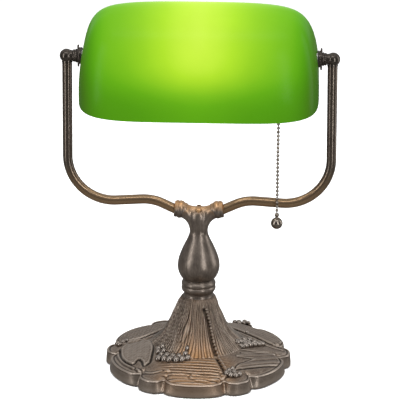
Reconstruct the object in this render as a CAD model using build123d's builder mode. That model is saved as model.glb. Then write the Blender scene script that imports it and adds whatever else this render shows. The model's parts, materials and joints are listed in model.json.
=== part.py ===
from build123d import *

import os
from math import atan2, cos, pi, radians, sin, tan

# Banker's desk lamp: a cast lobed base with a tree-trunk cone, a turned column with a
# forked yoke, two bent tube arms and a green glass shade that tilts on two nipples.
# Millimetres. The origin is under the middle of the base, +Z is up, -Y is the front.

os.makedirs("parts", exist_ok=True)

SIDES = (("left", -1), ("right", 1))

# ---------------------------------------------------------------- driving dimensions
FIT = 0.02                  # radial gap between pieces that are screwed or pushed together
RUNNING = 0.06              # radial gap between pieces that turn on each other
FACE_GAP = 0.05             # gap between faces that slide past each other

# base
LOBE_PAIRS = 6
LOBE_RADIUS = 91.0          # middle of a wide lobe
SMALL_LOBE_RADIUS = 92.4    # middle of a narrow lobe
NOTCH_RADIUS = 84.5         # where two lobes meet
WIDE_LOBE_HALF_ANGLE = 20.5
RIM_TOP = 13.0
RIM_BOTTOM = 0.6            # the felt stands this far out under the casting
FELT_THICKNESS = 1.5
FELT_RADIUS = 78.6
PLATE_THICKNESS = 2.4
PLATE_RADIUS = 79.0
RECESS_RADIUS = 79.3
CAVITY_RADIUS = 75.0
CONE_TOP = 72.0
CONE_SEAT = 55.0            # underside of the solid top of the cone
PLATE_TOP = FELT_THICKNESS + PLATE_THICKNESS

# screws under the base
BASE_SCREW_RADIUS = 2.0
BASE_SCREW_HEAD_RADIUS = 4.0
BASE_SCREW_TIP = 12.0
BASE_SCREW_CIRCLE = 66.0
BASE_SCREW_ANGLES = (-90.0, 30.0, 150.0)
BOSS_RADIUS = 5.0
BOSS_TOP = 15.0

# ballast, terminal block and the cord's inlet
BALLAST_OUTER = 52.0
BALLAST_INNER = 22.0
BALLAST_TOP = 13.0
LEAD_SLOT = 8.0
TERMINAL_SIZE = (22.0, 13.0, 8.0)
TERMINAL_Y = 61.0
INLET_Z = 8.0
INLET_RADIUS = 3.2
GROMMET_RADIUS = 4.0
GROMMET_FRONT = 69.5
GROMMET_BACK = 89.0

# threaded rod that holds the stack together
ROD_RADIUS = 4.9
ROD_BORE = 3.5
ROD_BOTTOM = 40.0
ROD_TOP = 132.0
ROD_NUT_FLATS = 14.0
ROD_NUT_HEIGHT = 6.0
ROD_WASHER_RADIUS = 10.0
ROD_WASHER_HEIGHT = 1.6

# column and yoke
COLLAR_TOP = 90.3
NECK_RADIUS = 9.0
FORK_Z = 150.1              # where the two branch axes meet the column's axis
BRANCH_BORE = 3.4
BRANCH_RADIUS = 7.3
BRANCH_COLLAR_RADIUS = 8.4
BRANCH_COLLAR_START = 16.5  # measured along the branch from the fork
BRANCH_COLLAR_END = 27.0
ARM_SOCKET_START = 17.0
HUB_TOP = 164.0

# arms: a tube through these corners, rounded by these radii
ARM_RADIUS = 4.75
ARM_BORE = 3.75
ARM_CORNER_LOW = (45.0, 170.9)
ARM_CORNER_OUT = (128.0, 165.6)
ARM_BEND_LOW = 42.0
ARM_BEND_OUT = 44.0
BALL_X = 126.3
BALL_RADIUS = 6.5
PIVOT_Z = 311.7
ARM_TOP_Z = 305.9

# tilt pivot, from the ball inwards, as distances along X
NIPPLE_RADIUS = 4.0
NIPPLE_BORE = 2.6
NIPPLE_INNER_END = 99.5
NIPPLE_OUTER_END = 123.5
BALL_FACE = 120.6
SPACER_FACE = 116.35
LOCK_NUT_OUTER = 116.3
LOCK_NUT_INNER = 113.1
CLAMP_WASHER_FACE = 113.05
CLAMP_WASHER_BACK = 112.4
SEAT_OUTER = 111.6
SEAT_INNER = 107.6
INNER_RUBBER_FACE = 106.8
INNER_WASHER_FACE = 106.15
INNER_NUT_OUTER = 106.1
INNER_NUT_INNER = 103.1
INNER_NUT_FLATS = 12.0
LOCK_NUT_RADIUS = 7.9
LOCK_NUT_NECK = 6.7
EAR_REACH = 10.7
EAR_WIDTH = 2.7
EAR_FACE = 114.4
BUSH_RADIUS = 5.4

# shade
TILT = 20.0                 # front rim lower than the back rim by this angle at rest
SHADE_DEPTH = 65.0          # half the depth at the rim
SHADE_HEIGHT = 85.0
SHADE_HALF_LENGTH = 114.0
SHADE_END_ROUND = 36.0      # radius between the trough and its ends
SHADE_WALL = 4.0
RIM_DROP = 32.0             # rim plane below the pivot
SEAT_RADIUS = 9.5

# socket and bulb, on the right nipple, as distances along X
SOCKET_SHELL_RADIUS = 17.3
SOCKET_SHELL_WALL = 0.7
SOCKET_SHELL_BACK = 85.5
SOCKET_MOUTH = 50.0
SWITCH_RADIUS = 15.4
SWITCH_BACK = 85.0
SWITCH_FRONT = 66.0
SCREW_SHELL_RADIUS = 14.2
SCREW_SHELL_BORE = 13.5
CONTACT_FACE = 64.9
BULB_RADIUS = 27.5
BULB_LENGTH = 95.0
BULB_CAP_RADIUS = 13.1
BULB_NECK_RADIUS = 12.3
BULB_WALL = 0.8

# pull chain
CHAIN_X = 76.0
CHAIN_Y = -10.5
BEAD_RADIUS = 1.35
BEAD_PITCH = 3.9
BEAD_LINK_RADIUS = 0.45
UPPER_SWIVEL_Z = 285.8
LOWER_SWIVEL_Z = 281.8
KNOB_Z = 151.5
KNOB_RADIUS = 5.4
BELL_TOP = 300.0
BELL_MOUTH = 288.5
LINK_TOP = 312.5
SPRING_FLOOR = 303.0
SPRING_TOP = 311.5
ROTOR_RADIUS = 5.2
ROTOR_Y = -2.5
ROTOR_Z = 309.0

# lead inside the stand
LEAD_RADIUS = 1.2
LEAD_START_Y = TERMINAL_Y - TERMINAL_SIZE[1] / 2
LEAD_BEND_BASE = 22.0
LEAD_BEND_FORK = 10.0
LEAD_BEND_BALL = 5.0

PIVOT_AXIS = Axis((0, 0, PIVOT_Z), (1, 0, 0))
PIVOT_PLANE = Plane(origin=(0, 0, PIVOT_Z), x_dir=(1, 0, 0), z_dir=(0, -1, 0))
CHAIN_PLANE = Plane(origin=(CHAIN_X, CHAIN_Y, 0), x_dir=(1, 0, 0), z_dir=(0, -1, 0))
CHAIN_AXIS = Axis((CHAIN_X, CHAIN_Y, 0), (0, 0, 1))
SHADE_PLANE = Plane(
    origin=(0, 0, PIVOT_Z),
    x_dir=(1, 0, 0),
    z_dir=(0, -sin(radians(TILT)), cos(radians(TILT))),
)


# ---------------------------------------------------------------- helpers
def polar(radius, angle):
    """Point on the XY plane at an angle in degrees."""
    return (radius * cos(radians(angle)), radius * sin(radians(angle)))


def outline(plane, points):
    """Closed straight-sided face on a plane."""
    with BuildSketch(plane) as face:
        with BuildLine():
            Polyline(*points, close=True)
        make_face()
    return face.sketch


def ring(plane, outer_radius, bore_radius):
    """Flat ring on a plane."""
    with BuildSketch(plane) as face:
        Circle(outer_radius)
        Circle(bore_radius, mode=Mode.SUBTRACT)
    return face.sketch


def disc(plane, radius):
    """Round face on a plane."""
    with BuildSketch(plane) as face:
        Circle(radius)
    return face.sketch


def across_pivot(x, side=1):
    """Plane square to the pivot axis, facing away from the middle of the lamp."""
    return Plane(origin=(side * x, 0, PIVOT_Z), x_dir=(0, side, 0), z_dir=(side, 0, 0))


def branch_plane(distance, side):
    """Plane square to a branch of the fork, this far out along it."""
    along = (side * cos(BRANCH_ANGLE), 0, sin(BRANCH_ANGLE))
    start = (along[0] * distance, 0, FORK_Z + along[2] * distance)
    return Plane(origin=start, x_dir=(0, 1, 0), z_dir=along)


def cone_profile():
    """Face of the base's top from the rim slope up the concave cone, for turning about Z."""
    with BuildSketch(Plane.XZ) as face:
        with BuildLine():
            Polyline((0, RIM_TOP - 1), (84, RIM_TOP - 1), (84, RIM_TOP), (46, 22.8))
            ThreePointArc((46, 22.8), (26.9, 46.6), (17.5, CONE_TOP))
            Polyline((17.5, CONE_TOP), (0, CONE_TOP), (0, RIM_TOP - 1))
        make_face()
    return face.sketch


def cavity_profile():
    """Face of the hollow under the base, for turning about Z."""
    with BuildSketch(Plane.XZ) as face:
        with BuildLine():
            Polyline(
                (0, 0),
                (RECESS_RADIUS, 0),
                (RECESS_RADIUS, PLATE_TOP),
                (CAVITY_RADIUS, PLATE_TOP),
                (CAVITY_RADIUS, 10.2),
                (44, 18.5),
            )
            ThreePointArc((44, 18.5), (24.5, 40), (15, CONE_SEAT))
            Polyline((15, CONE_SEAT), (0, CONE_SEAT), (0, 0))
        make_face()
    return face.sketch


def bulb_profile(inset):
    """Face of the bulb's body, for turning about the pivot axis."""
    middle = CONTACT_FACE - BULB_LENGTH + BULB_RADIUS
    radius = BULB_RADIUS - inset
    neck = BULB_NECK_RADIUS - inset
    neck_x = 41.0
    touch = (middle + radius * cos(radians(50)), radius * sin(radians(50)))
    with BuildSketch(PIVOT_PLANE) as face:
        with BuildLine():
            Polyline((neck_x, 0), (neck_x, neck), (neck_x - 2.5, neck))
            Spline(
                (neck_x - 2.5, neck),
                touch,
                tangents=((-1, 0), (-sin(radians(50)), cos(radians(50)))),
            )
            ThreePointArc(touch, (middle, radius), (middle - radius, 0))
            Line((middle - radius, 0), (neck_x, 0))
        make_face()
    return face.sketch


def arm_path(side, start, end):
    """Wire along an arm's middle line between two points in the plane of the arms."""
    points = (start, ARM_CORNER_LOW, ARM_CORNER_OUT, end)
    with BuildLine() as path:
        FilletPolyline(
            *[(side * x, 0, z) for x, z in points],
            radius=[ARM_BEND_LOW, ARM_BEND_OUT],
        )
    return path.line


def bent_length(points, radii):
    """Length of a polyline whose corners are rounded by arcs."""
    corners = [Vector(*point) for point in points]
    total = sum((b - a).length for a, b in zip(corners, corners[1:]))
    for before, corner, after, radius in zip(corners, corners[1:], corners[2:], radii):
        turn = radians((corner - before).get_angle(after - corner))
        total += radius * turn - 2 * radius * tan(turn / 2)
    return total


# angles of the branches and of the arms' leaning uprights
BRANCH_ANGLE = atan2(ARM_CORNER_LOW[1] - FORK_Z, ARM_CORNER_LOW[0])
UPRIGHT_LEAN = (ARM_CORNER_OUT[0] - BALL_X + 0.6) / (PIVOT_Z - ARM_CORNER_OUT[1])
ARM_TOP_X = ARM_CORNER_OUT[0] - UPRIGHT_LEAN * (ARM_TOP_Z - ARM_CORNER_OUT[1])
LEAD_TURN_X = ARM_CORNER_OUT[0] - UPRIGHT_LEAN * (PIVOT_Z - ARM_CORNER_OUT[1])
ARM_START = (
    (ARM_SOCKET_START + 0.3) * cos(BRANCH_ANGLE),
    FORK_Z + (ARM_SOCKET_START + 0.3) * sin(BRANCH_ANGLE),
)


# ---------------------------------------------------------------- base
lobe_points = []
for pair in range(LOBE_PAIRS):
    middle = -90 + pair * 360 / LOBE_PAIRS
    lobe_points.append(polar(NOTCH_RADIUS, middle - WIDE_LOBE_HALF_ANGLE))
    lobe_points.append(polar(LOBE_RADIUS, middle))
    lobe_points.append(polar(NOTCH_RADIUS, middle + WIDE_LOBE_HALF_ANGLE))
    lobe_points.append(polar(SMALL_LOBE_RADIUS, middle + 180 / LOBE_PAIRS))

with BuildPart() as base_casting:
    with BuildSketch(Plane.XY.offset(RIM_BOTTOM)):
        with BuildLine():
            for index in range(0, len(lobe_points), 2):
                following = (index + 2) % len(lobe_points)
                ThreePointArc(lobe_points[index], lobe_points[index + 1], lobe_points[following])
        make_face()
    extrude(amount=RIM_TOP - RIM_BOTTOM)
    revolve(cone_profile(), axis=Axis.Z)
    revolve(cavity_profile(), axis=Axis.Z, mode=Mode.SUBTRACT)
    with BuildSketch(Plane.XY.offset(PLATE_TOP)):
        for angle in BASE_SCREW_ANGLES:
            with Locations(polar(BASE_SCREW_CIRCLE, angle)):
                Circle(BOSS_RADIUS)
    extrude(amount=BOSS_TOP - PLATE_TOP)
    with BuildSketch(Plane.XY.offset(PLATE_TOP)):
        for angle in BASE_SCREW_ANGLES:
            with Locations(polar(BASE_SCREW_CIRCLE, angle)):
                Circle(BASE_SCREW_RADIUS + FIT)
    extrude(amount=BASE_SCREW_TIP + 0.5 - PLATE_TOP, mode=Mode.SUBTRACT)
    extrude(disc(Plane.XY.offset(CONE_SEAT), ROD_RADIUS + 0.2), amount=CONE_TOP, mode=Mode.SUBTRACT)
    inlet_plane = Plane(origin=(0, 60, INLET_Z), x_dir=(1, 0, 0), z_dir=(0, 1, 0))
    extrude(disc(inlet_plane, GROMMET_RADIUS + FIT), amount=40, mode=Mode.SUBTRACT)
base_casting.part.label = "base_casting"
export_step(base_casting.part, "parts/base_casting.step")

with BuildPart() as felt_pad:
    extrude(disc(Plane.XY, FELT_RADIUS), amount=FELT_THICKNESS)
felt_pad.part.label = "felt_pad"
export_step(felt_pad.part, "parts/felt_pad.step")

with BuildPart() as bottom_plate:
    extrude(disc(Plane.XY.offset(FELT_THICKNESS), PLATE_RADIUS), amount=PLATE_THICKNESS)
    with Locations(Plane.XY.offset(FELT_THICKNESS)):
        with Locations(*[polar(BASE_SCREW_CIRCLE, angle) for angle in BASE_SCREW_ANGLES]):
            Cone(
                BASE_SCREW_HEAD_RADIUS + 0.1,
                BASE_SCREW_RADIUS + 0.1,
                2.0,
                align=(Align.CENTER, Align.CENTER, Align.MIN),
                mode=Mode.SUBTRACT,
            )
            Cylinder(
                BASE_SCREW_RADIUS + 0.1,
                PLATE_THICKNESS,
                align=(Align.CENTER, Align.CENTER, Align.MIN),
                mode=Mode.SUBTRACT,
            )
bottom_plate.part.label = "bottom_plate"
export_step(bottom_plate.part, "parts/bottom_plate.step")

with BuildPart() as base_screws:
    with Locations(Plane.XY.offset(FELT_THICKNESS)):
        with Locations(*[polar(BASE_SCREW_CIRCLE, angle) for angle in BASE_SCREW_ANGLES]):
            Cone(
                BASE_SCREW_HEAD_RADIUS,
                BASE_SCREW_RADIUS,
                2.0,
                align=(Align.CENTER, Align.CENTER, Align.MIN),
            )
            Cylinder(
                BASE_SCREW_RADIUS,
                BASE_SCREW_TIP - FELT_THICKNESS,
                align=(Align.CENTER, Align.CENTER, Align.MIN),
            )
            Box(
                5.0,
                1.0,
                0.8,
                align=(Align.CENTER, Align.CENTER, Align.MIN),
                mode=Mode.SUBTRACT,
            )
base_screws.part.label = "base_screws"
export_step(base_screws.part, "parts/base_screws.step")

with BuildPart() as ballast_ring:
    extrude(
        ring(Plane.XY.offset(PLATE_TOP), BALLAST_OUTER, BALLAST_INNER),
        amount=BALLAST_TOP - PLATE_TOP,
    )
    chamfer(ballast_ring.edges().filter_by(GeomType.CIRCLE).group_by(Axis.Z)[-1], length=1.5)
    with BuildSketch(Plane.XY.offset(PLATE_TOP)):
        with Locations((0, BALLAST_OUTER / 2)):
            Rectangle(LEAD_SLOT, BALLAST_OUTER + 2)
    extrude(amount=BALLAST_TOP, mode=Mode.SUBTRACT)
ballast_ring.part.label = "ballast_ring"
export_step(ballast_ring.part, "parts/ballast_ring.step")

with BuildPart() as cord_grommet:
    grommet_plane = Plane(origin=(0, GROMMET_FRONT, INLET_Z), x_dir=(1, 0, 0), z_dir=(0, 1, 0))
    extrude(ring(grommet_plane, GROMMET_RADIUS, INLET_RADIUS), amount=GROMMET_BACK - GROMMET_FRONT)
    fillet(cord_grommet.edges().filter_by(GeomType.CIRCLE).group_by(Axis.Y)[-1].sort_by(
        SortBy.RADIUS)[0], radius=0.4)
cord_grommet.part.label = "cord_grommet"
export_step(cord_grommet.part, "parts/cord_grommet.step")

with BuildPart() as terminal_block:
    with BuildSketch(Plane.XY.offset(PLATE_TOP)):
        with Locations((0, TERMINAL_Y)):
            Rectangle(TERMINAL_SIZE[0], TERMINAL_SIZE[1])
    extrude(amount=TERMINAL_SIZE[2])
    fillet(terminal_block.edges().filter_by(Axis.Z), radius=1.5)
    with BuildSketch(Plane.XY.offset(PLATE_TOP + TERMINAL_SIZE[2])):
        with GridLocations(11, 0, 2, 1):
            with Locations((0, TERMINAL_Y)):
                Circle(1.7)
    extrude(amount=-3.0, mode=Mode.SUBTRACT)
terminal_block.part.label = "terminal_block"
export_step(terminal_block.part, "parts/terminal_block.step")

with BuildPart() as terminal_screws:
    with BuildSketch(Plane.XY.offset(PLATE_TOP + TERMINAL_SIZE[2] - 3.0)):
        with GridLocations(11, 0, 2, 1):
            with Locations((0, TERMINAL_Y)):
                Circle(1.6)
    extrude(amount=2.2)
    with BuildSketch(Plane.XY.offset(PLATE_TOP + TERMINAL_SIZE[2] - 0.8)):
        with GridLocations(11, 0, 2, 1):
            with Locations((0, TERMINAL_Y)):
                Rectangle(2.4, 0.5)
    extrude(amount=-0.7, mode=Mode.SUBTRACT)
terminal_screws.part.label = "terminal_screws"
export_step(terminal_screws.part, "parts/terminal_screws.step")

# ---------------------------------------------------------------- rod, column and yoke
with BuildPart() as threaded_rod:
    extrude(ring(Plane.XY.offset(ROD_BOTTOM), ROD_RADIUS, ROD_BORE), amount=ROD_TOP - ROD_BOTTOM)
    chamfer(threaded_rod.edges().filter_by(GeomType.CIRCLE).sort_by(SortBy.RADIUS)[-2:], length=0.6)
threaded_rod.part.label = "threaded_rod"
export_step(threaded_rod.part, "parts/threaded_rod.step")

with BuildPart() as rod_washer:
    extrude(
        ring(Plane.XY.offset(CONE_SEAT), ROD_WASHER_RADIUS, ROD_RADIUS + 0.2),
        amount=-ROD_WASHER_HEIGHT,
    )
rod_washer.part.label = "rod_washer"
export_step(rod_washer.part, "parts/rod_washer.step")

with BuildPart() as rod_nut:
    with BuildSketch(Plane.XY.offset(CONE_SEAT - ROD_WASHER_HEIGHT)):
        RegularPolygon(ROD_NUT_FLATS / 2, 6, major_radius=False)
        Circle(ROD_RADIUS + FIT, mode=Mode.SUBTRACT)
    extrude(amount=-ROD_NUT_HEIGHT)
rod_nut.part.label = "rod_nut"
export_step(rod_nut.part, "parts/rod_nut.step")

with BuildPart() as column_collar:
    with BuildSketch(Plane.XZ):
        with BuildLine():
            Polyline((ROD_RADIUS + 0.2, CONE_TOP), (14.7, CONE_TOP), (15.4, 75.0), (15.4, 77.0))
            ThreePointArc((15.4, 77.0), (16.8, 79.2), (15.9, 81.4))
            ThreePointArc((15.9, 81.4), (17.4, 84.2), (16.0, 87.2))
            Polyline((16.0, 87.2), (15.6, COLLAR_TOP), (ROD_RADIUS + 0.2, COLLAR_TOP))
            Line((ROD_RADIUS + 0.2, COLLAR_TOP), (ROD_RADIUS + 0.2, CONE_TOP))
        make_face()
    revolve(axis=Axis.Z)
column_collar.part.label = "column_collar"
export_step(column_collar.part, "parts/column_collar.step")

with BuildPart() as yoke_column:
    with BuildSketch(Plane.XZ):
        with BuildLine():
            Line((0, COLLAR_TOP), (16.6, COLLAR_TOP))
            Spline(
                (16.6, COLLAR_TOP),
                (20.4, 103.3),
                (17.0, 118.9),
                (NECK_RADIUS, 140.6),
                (10.0, 151.0),
                tangents=((0.6, 0.8), (0.25, 1.0)),
            )
            Spline((10.0, 151.0), (8.0, 159.5), (0, HUB_TOP), tangents=((0, 1), (-1, 0)))
            Line((0, HUB_TOP), (0, COLLAR_TOP))
        make_face()
    revolve(axis=Axis.Z)
    for name, side in SIDES:
        with BuildSketch(branch_plane(0, side)):
            Circle(8.4)
        with BuildSketch(branch_plane(BRANCH_COLLAR_START, side)):
            Circle(BRANCH_RADIUS)
        loft()
        extrude(
            disc(branch_plane(BRANCH_COLLAR_START, side), BRANCH_COLLAR_RADIUS),
            amount=BRANCH_COLLAR_END - BRANCH_COLLAR_START,
        )
        fillet(
            yoke_column.faces().filter_by(GeomType.PLANE).sort_by(Axis.X)[-1 if side > 0 else 0]
            .edges(),
            radius=1.2,
        )
    web_plane = Plane(origin=(0, 5.5, 0), x_dir=(1, 0, 0), z_dir=(0, -1, 0))
    extrude(outline(web_plane, [(-16, 155), (-16, 163.6), (0, 163.2), (16, 163.6), (16, 155)]), amount=11)
    extrude(disc(Plane.XY.offset(COLLAR_TOP), ROD_RADIUS + FIT), amount=ROD_TOP + 0.5 - COLLAR_TOP,
            mode=Mode.SUBTRACT)
    extrude(disc(Plane.XY.offset(ROD_TOP), ROD_BORE), amount=FORK_Z + 1.5 - ROD_TOP, mode=Mode.SUBTRACT)
    for name, side in SIDES:
        extrude(disc(branch_plane(0, side), BRANCH_BORE), amount=30, mode=Mode.SUBTRACT)
        extrude(
            disc(branch_plane(ARM_SOCKET_START, side), ARM_RADIUS + FIT),
            amount=20,
            mode=Mode.SUBTRACT,
        )
        screw_middle = branch_plane(22.5, side).origin
        screw_plane = Plane(origin=screw_middle, x_dir=(1, 0, 0), z_dir=(0, 1, 0))
        extrude(disc(screw_plane, 1.5 + FIT), amount=12, mode=Mode.SUBTRACT)
yoke_column.part.label = "yoke_column"
export_step(yoke_column.part, "parts/yoke_column.step")

with BuildPart() as arm_set_screws:
    for name, side in SIDES:
        screw_middle = branch_plane(22.5, side).origin
        screw_plane = Plane(
            origin=(screw_middle.X, ARM_RADIUS + FIT, screw_middle.Z),
            x_dir=(1, 0, 0),
            z_dir=(0, 1, 0),
        )
        extrude(disc(screw_plane, 1.5), amount=BRANCH_COLLAR_RADIUS - ARM_RADIUS - 0.4)
        with BuildSketch(screw_plane.offset(BRANCH_COLLAR_RADIUS - ARM_RADIUS - 0.4)):
            RegularPolygon(0.75, 6, major_radius=False)
        extrude(amount=-1.5, mode=Mode.SUBTRACT)
arm_set_screws.part.label = "arm_set_screws"
export_step(arm_set_screws.part, "parts/arm_set_screws.step")

# ---------------------------------------------------------------- arms, balls and nipples
for name, side in SIDES:
    with BuildPart() as arm:
        path = arm_path(side, ARM_START, (ARM_TOP_X, ARM_TOP_Z))
        sweep(ring(branch_plane(ARM_SOCKET_START + 0.3, side), ARM_RADIUS, ARM_BORE), path=path)
    arm.part.label = f"arm_{name}"
    export_step(arm.part, f"parts/arm_{name}.step")

    with BuildPart() as ball_end:
        upright_plane = Plane(
            origin=(side * ARM_TOP_X, 0, ARM_TOP_Z),
            x_dir=(0, 1, 0),
            z_dir=(-side * UPRIGHT_LEAN, 0, 1),
        )
        with Locations((side * BALL_X, 0, PIVOT_Z)):
            Sphere(BALL_RADIUS, rotation=(0, 0, 37))
        extrude(disc(upright_plane, ARM_RADIUS), amount=3.0)
        extrude(disc(upright_plane, ARM_BORE - FIT), amount=-6.0)
        extrude(disc(across_pivot(BALL_FACE, side), 5.2), amount=3.5)
        extrude(disc(upright_plane.offset(-7.0), 2.8), amount=11.0, mode=Mode.SUBTRACT)
        extrude(disc(across_pivot(BALL_FACE - 1, side), NIPPLE_RADIUS + FIT),
                amount=NIPPLE_OUTER_END - BALL_FACE + 1.1, mode=Mode.SUBTRACT)
        extrude(disc(across_pivot(BALL_FACE, side), 2.8), amount=6.5, mode=Mode.SUBTRACT)
    ball_end.part.label = f"ball_end_{name}"
    export_step(ball_end.part, f"parts/ball_end_{name}.step")

    with BuildPart() as pivot_nipple:
        extrude(
            ring(across_pivot(NIPPLE_INNER_END, side), NIPPLE_RADIUS, NIPPLE_BORE),
            amount=NIPPLE_OUTER_END - NIPPLE_INNER_END,
        )
    pivot_nipple.part.label = f"pivot_nipple_{name}"
    export_step(pivot_nipple.part, f"parts/pivot_nipple_{name}.step")

    with BuildPart() as spacer_ring:
        with BuildSketch(PIVOT_PLANE):
            with BuildLine():
                Line((side * SPACER_FACE, NIPPLE_RADIUS + FIT), (side * SPACER_FACE, 6.1))
                ThreePointArc(
                    (side * SPACER_FACE, 6.1), (side * 117.5, 6.6), (side * 118.4, 5.9)
                )
                ThreePointArc(
                    (side * 118.4, 5.9), (side * 119.4, 6.1), (side * (BALL_FACE - FIT), 5.2)
                )
                Polyline(
                    (side * (BALL_FACE - FIT), 5.2),
                    (side * (BALL_FACE - FIT), NIPPLE_RADIUS + FIT),
                    (side * SPACER_FACE, NIPPLE_RADIUS + FIT),
                )
            make_face()
        revolve(axis=PIVOT_AXIS)
    spacer_ring.part.label = f"spacer_ring_{name}"
    export_step(spacer_ring.part, f"parts/spacer_ring_{name}.step")

    with BuildPart() as tilt_lock_nut:
        bore = NIPPLE_RADIUS + RUNNING
        nut_points = [
            (side * LOCK_NUT_INNER, bore),
            (side * LOCK_NUT_INNER, LOCK_NUT_RADIUS - 0.3),
            (side * (LOCK_NUT_INNER + 0.3), LOCK_NUT_RADIUS),
            (side * (LOCK_NUT_INNER + 1.2), LOCK_NUT_RADIUS),
            (side * LOCK_NUT_OUTER, LOCK_NUT_NECK),
            (side * LOCK_NUT_OUTER, bore),
        ]
        revolve(outline(PIVOT_PLANE, nut_points), axis=PIVOT_AXIS)
        with BuildSketch(across_pivot(EAR_FACE, side)) as ears:
            Rectangle(EAR_WIDTH, 2 * EAR_REACH)
            fillet(ears.vertices(), radius=EAR_WIDTH / 2 - 0.05)
            Circle(bore + 1, mode=Mode.SUBTRACT)
        extrude(amount=LOCK_NUT_OUTER - EAR_FACE)
    tilt_lock_nut.part.label = f"tilt_lock_nut_{name}"
    export_step(tilt_lock_nut.part, f"parts/tilt_lock_nut_{name}.step")

    with BuildPart() as inner_lock_nut:
        with BuildSketch(across_pivot(INNER_NUT_INNER, side)):
            RegularPolygon(INNER_NUT_FLATS / 2, 6, major_radius=False)
            Circle(NIPPLE_RADIUS + FIT, mode=Mode.SUBTRACT)
        extrude(amount=INNER_NUT_OUTER - INNER_NUT_INNER)
    inner_lock_nut.part.label = f"inner_lock_nut_{name}"
    export_step(inner_lock_nut.part, f"parts/inner_lock_nut_{name}.step")

    # washers and bush that turn with the glass, from the outside inwards
    turning_rings = (
        ("clamp_washer", CLAMP_WASHER_BACK, CLAMP_WASHER_FACE, 8.2, NIPPLE_RADIUS + RUNNING),
        ("outer_rubber_washer", SEAT_OUTER, CLAMP_WASHER_BACK, 7.8, NIPPLE_RADIUS + RUNNING),
        ("shade_bush", SEAT_INNER, SEAT_OUTER, BUSH_RADIUS, NIPPLE_RADIUS + RUNNING),
        ("inner_rubber_washer", INNER_RUBBER_FACE, SEAT_INNER, 7.8, NIPPLE_RADIUS + RUNNING),
        ("inner_washer", INNER_WASHER_FACE, INNER_RUBBER_FACE, 8.2, NIPPLE_RADIUS + RUNNING),
    )
    for ring_name, inner_face, outer_face, outer_radius, bore_radius in turning_rings:
        with BuildPart() as turning_ring:
            extrude(
                ring(across_pivot(inner_face, side), outer_radius, bore_radius),
                amount=outer_face - inner_face,
            )
        turning_ring.part.label = f"{ring_name}_{name}"
        export_step(turning_ring.part, f"parts/{ring_name}_{name}.step")

# ---------------------------------------------------------------- shade
# The glass is drawn upright about the pivot, then set at its tilt.
trough_bodies = []
for inset in (0, SHADE_WALL):
    with BuildPart() as trough:
        with BuildSketch(Plane.YZ.offset(inset - SHADE_HALF_LENGTH)):
            Ellipse(SHADE_DEPTH - inset, SHADE_HEIGHT - inset)
        extrude(amount=2 * (SHADE_HALF_LENGTH - inset))
        end_edges = trough.edges().group_by(Axis.X)
        fillet(end_edges[0] + end_edges[-1], radius=SHADE_END_ROUND - inset)
    trough_bodies.append(trough.part)

with BuildPart() as upright_shade:
    with Locations((0, 0, -RIM_DROP)):
        add(trough_bodies[0])
    for name, side in SIDES:
        seat_plane = Plane(origin=(side * SEAT_OUTER, 0, 0), x_dir=(0, side, 0), z_dir=(side, 0, 0))
        extrude(disc(seat_plane, SEAT_RADIUS + 0.2), amount=6, mode=Mode.SUBTRACT)
    with Locations((0, 0, -RIM_DROP)):
        add(trough_bodies[1], mode=Mode.SUBTRACT)
    for name, side in SIDES:
        seat_plane = Plane(origin=(side * SEAT_INNER, 0, 0), x_dir=(0, side, 0), z_dir=(side, 0, 0))
        extrude(disc(seat_plane, SEAT_RADIUS), amount=SEAT_OUTER - SEAT_INNER - 0.1)
        extrude(disc(seat_plane.offset(-1), BUSH_RADIUS + FIT), amount=8, mode=Mode.SUBTRACT)
    with Locations((0, 0, -RIM_DROP)):
        Box(
            3 * SHADE_HALF_LENGTH,
            4 * SHADE_DEPTH,
            2 * SHADE_HEIGHT,
            align=(Align.CENTER, Align.CENTER, Align.MAX),
            mode=Mode.SUBTRACT,
        )

with BuildPart() as shade_glass:
    add(SHADE_PLANE.location * upright_shade.part)
shade_glass.part.label = "shade_glass"
export_step(shade_glass.part, "parts/shade_glass.step")

# ---------------------------------------------------------------- socket
with BuildPart() as socket_cap:
    revolve(
        outline(
            PIVOT_PLANE,
            [
                (103.0, NIPPLE_RADIUS + FIT),
                (103.0, 6.8),
                (98.5, 6.8),
                (95.0, 12.2),
                (91.0, 16.0),
                (87.5, 18.1),
                (82.5, 18.1),
                (82.5, SOCKET_SHELL_RADIUS + FIT),
                (87.2, SOCKET_SHELL_RADIUS + FIT),
                (90.4, 15.2),
                (94.2, 11.4),
                (97.0, 6.6),
                (97.0, NIPPLE_RADIUS + FIT),
            ],
        ),
        axis=PIVOT_AXIS,
    )
socket_cap.part.label = "socket_cap"
export_step(socket_cap.part, "parts/socket_cap.step")

bell_cut = disc(Plane.XY.offset(BELL_MOUTH).move(Location((CHAIN_X, CHAIN_Y, 0))), 3.2 + FIT)

with BuildPart() as socket_shell:
    revolve(
        outline(
            PIVOT_PLANE,
            [
                (SOCKET_SHELL_BACK, SOCKET_SHELL_RADIUS - SOCKET_SHELL_WALL),
                (SOCKET_SHELL_BACK, SOCKET_SHELL_RADIUS),
                (SOCKET_MOUTH + 2.4, SOCKET_SHELL_RADIUS),
                (SOCKET_MOUTH + 1.6, SOCKET_SHELL_RADIUS + 0.9),
                (SOCKET_MOUTH, SOCKET_SHELL_RADIUS + 0.9),
                (SOCKET_MOUTH, SOCKET_SHELL_RADIUS - SOCKET_SHELL_WALL),
            ],
        ),
        axis=PIVOT_AXIS,
    )
    extrude(bell_cut, amount=BELL_TOP - BELL_MOUTH + 4, mode=Mode.SUBTRACT)
socket_shell.part.label = "socket_shell"
export_step(socket_shell.part, "parts/socket_shell.step")

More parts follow.
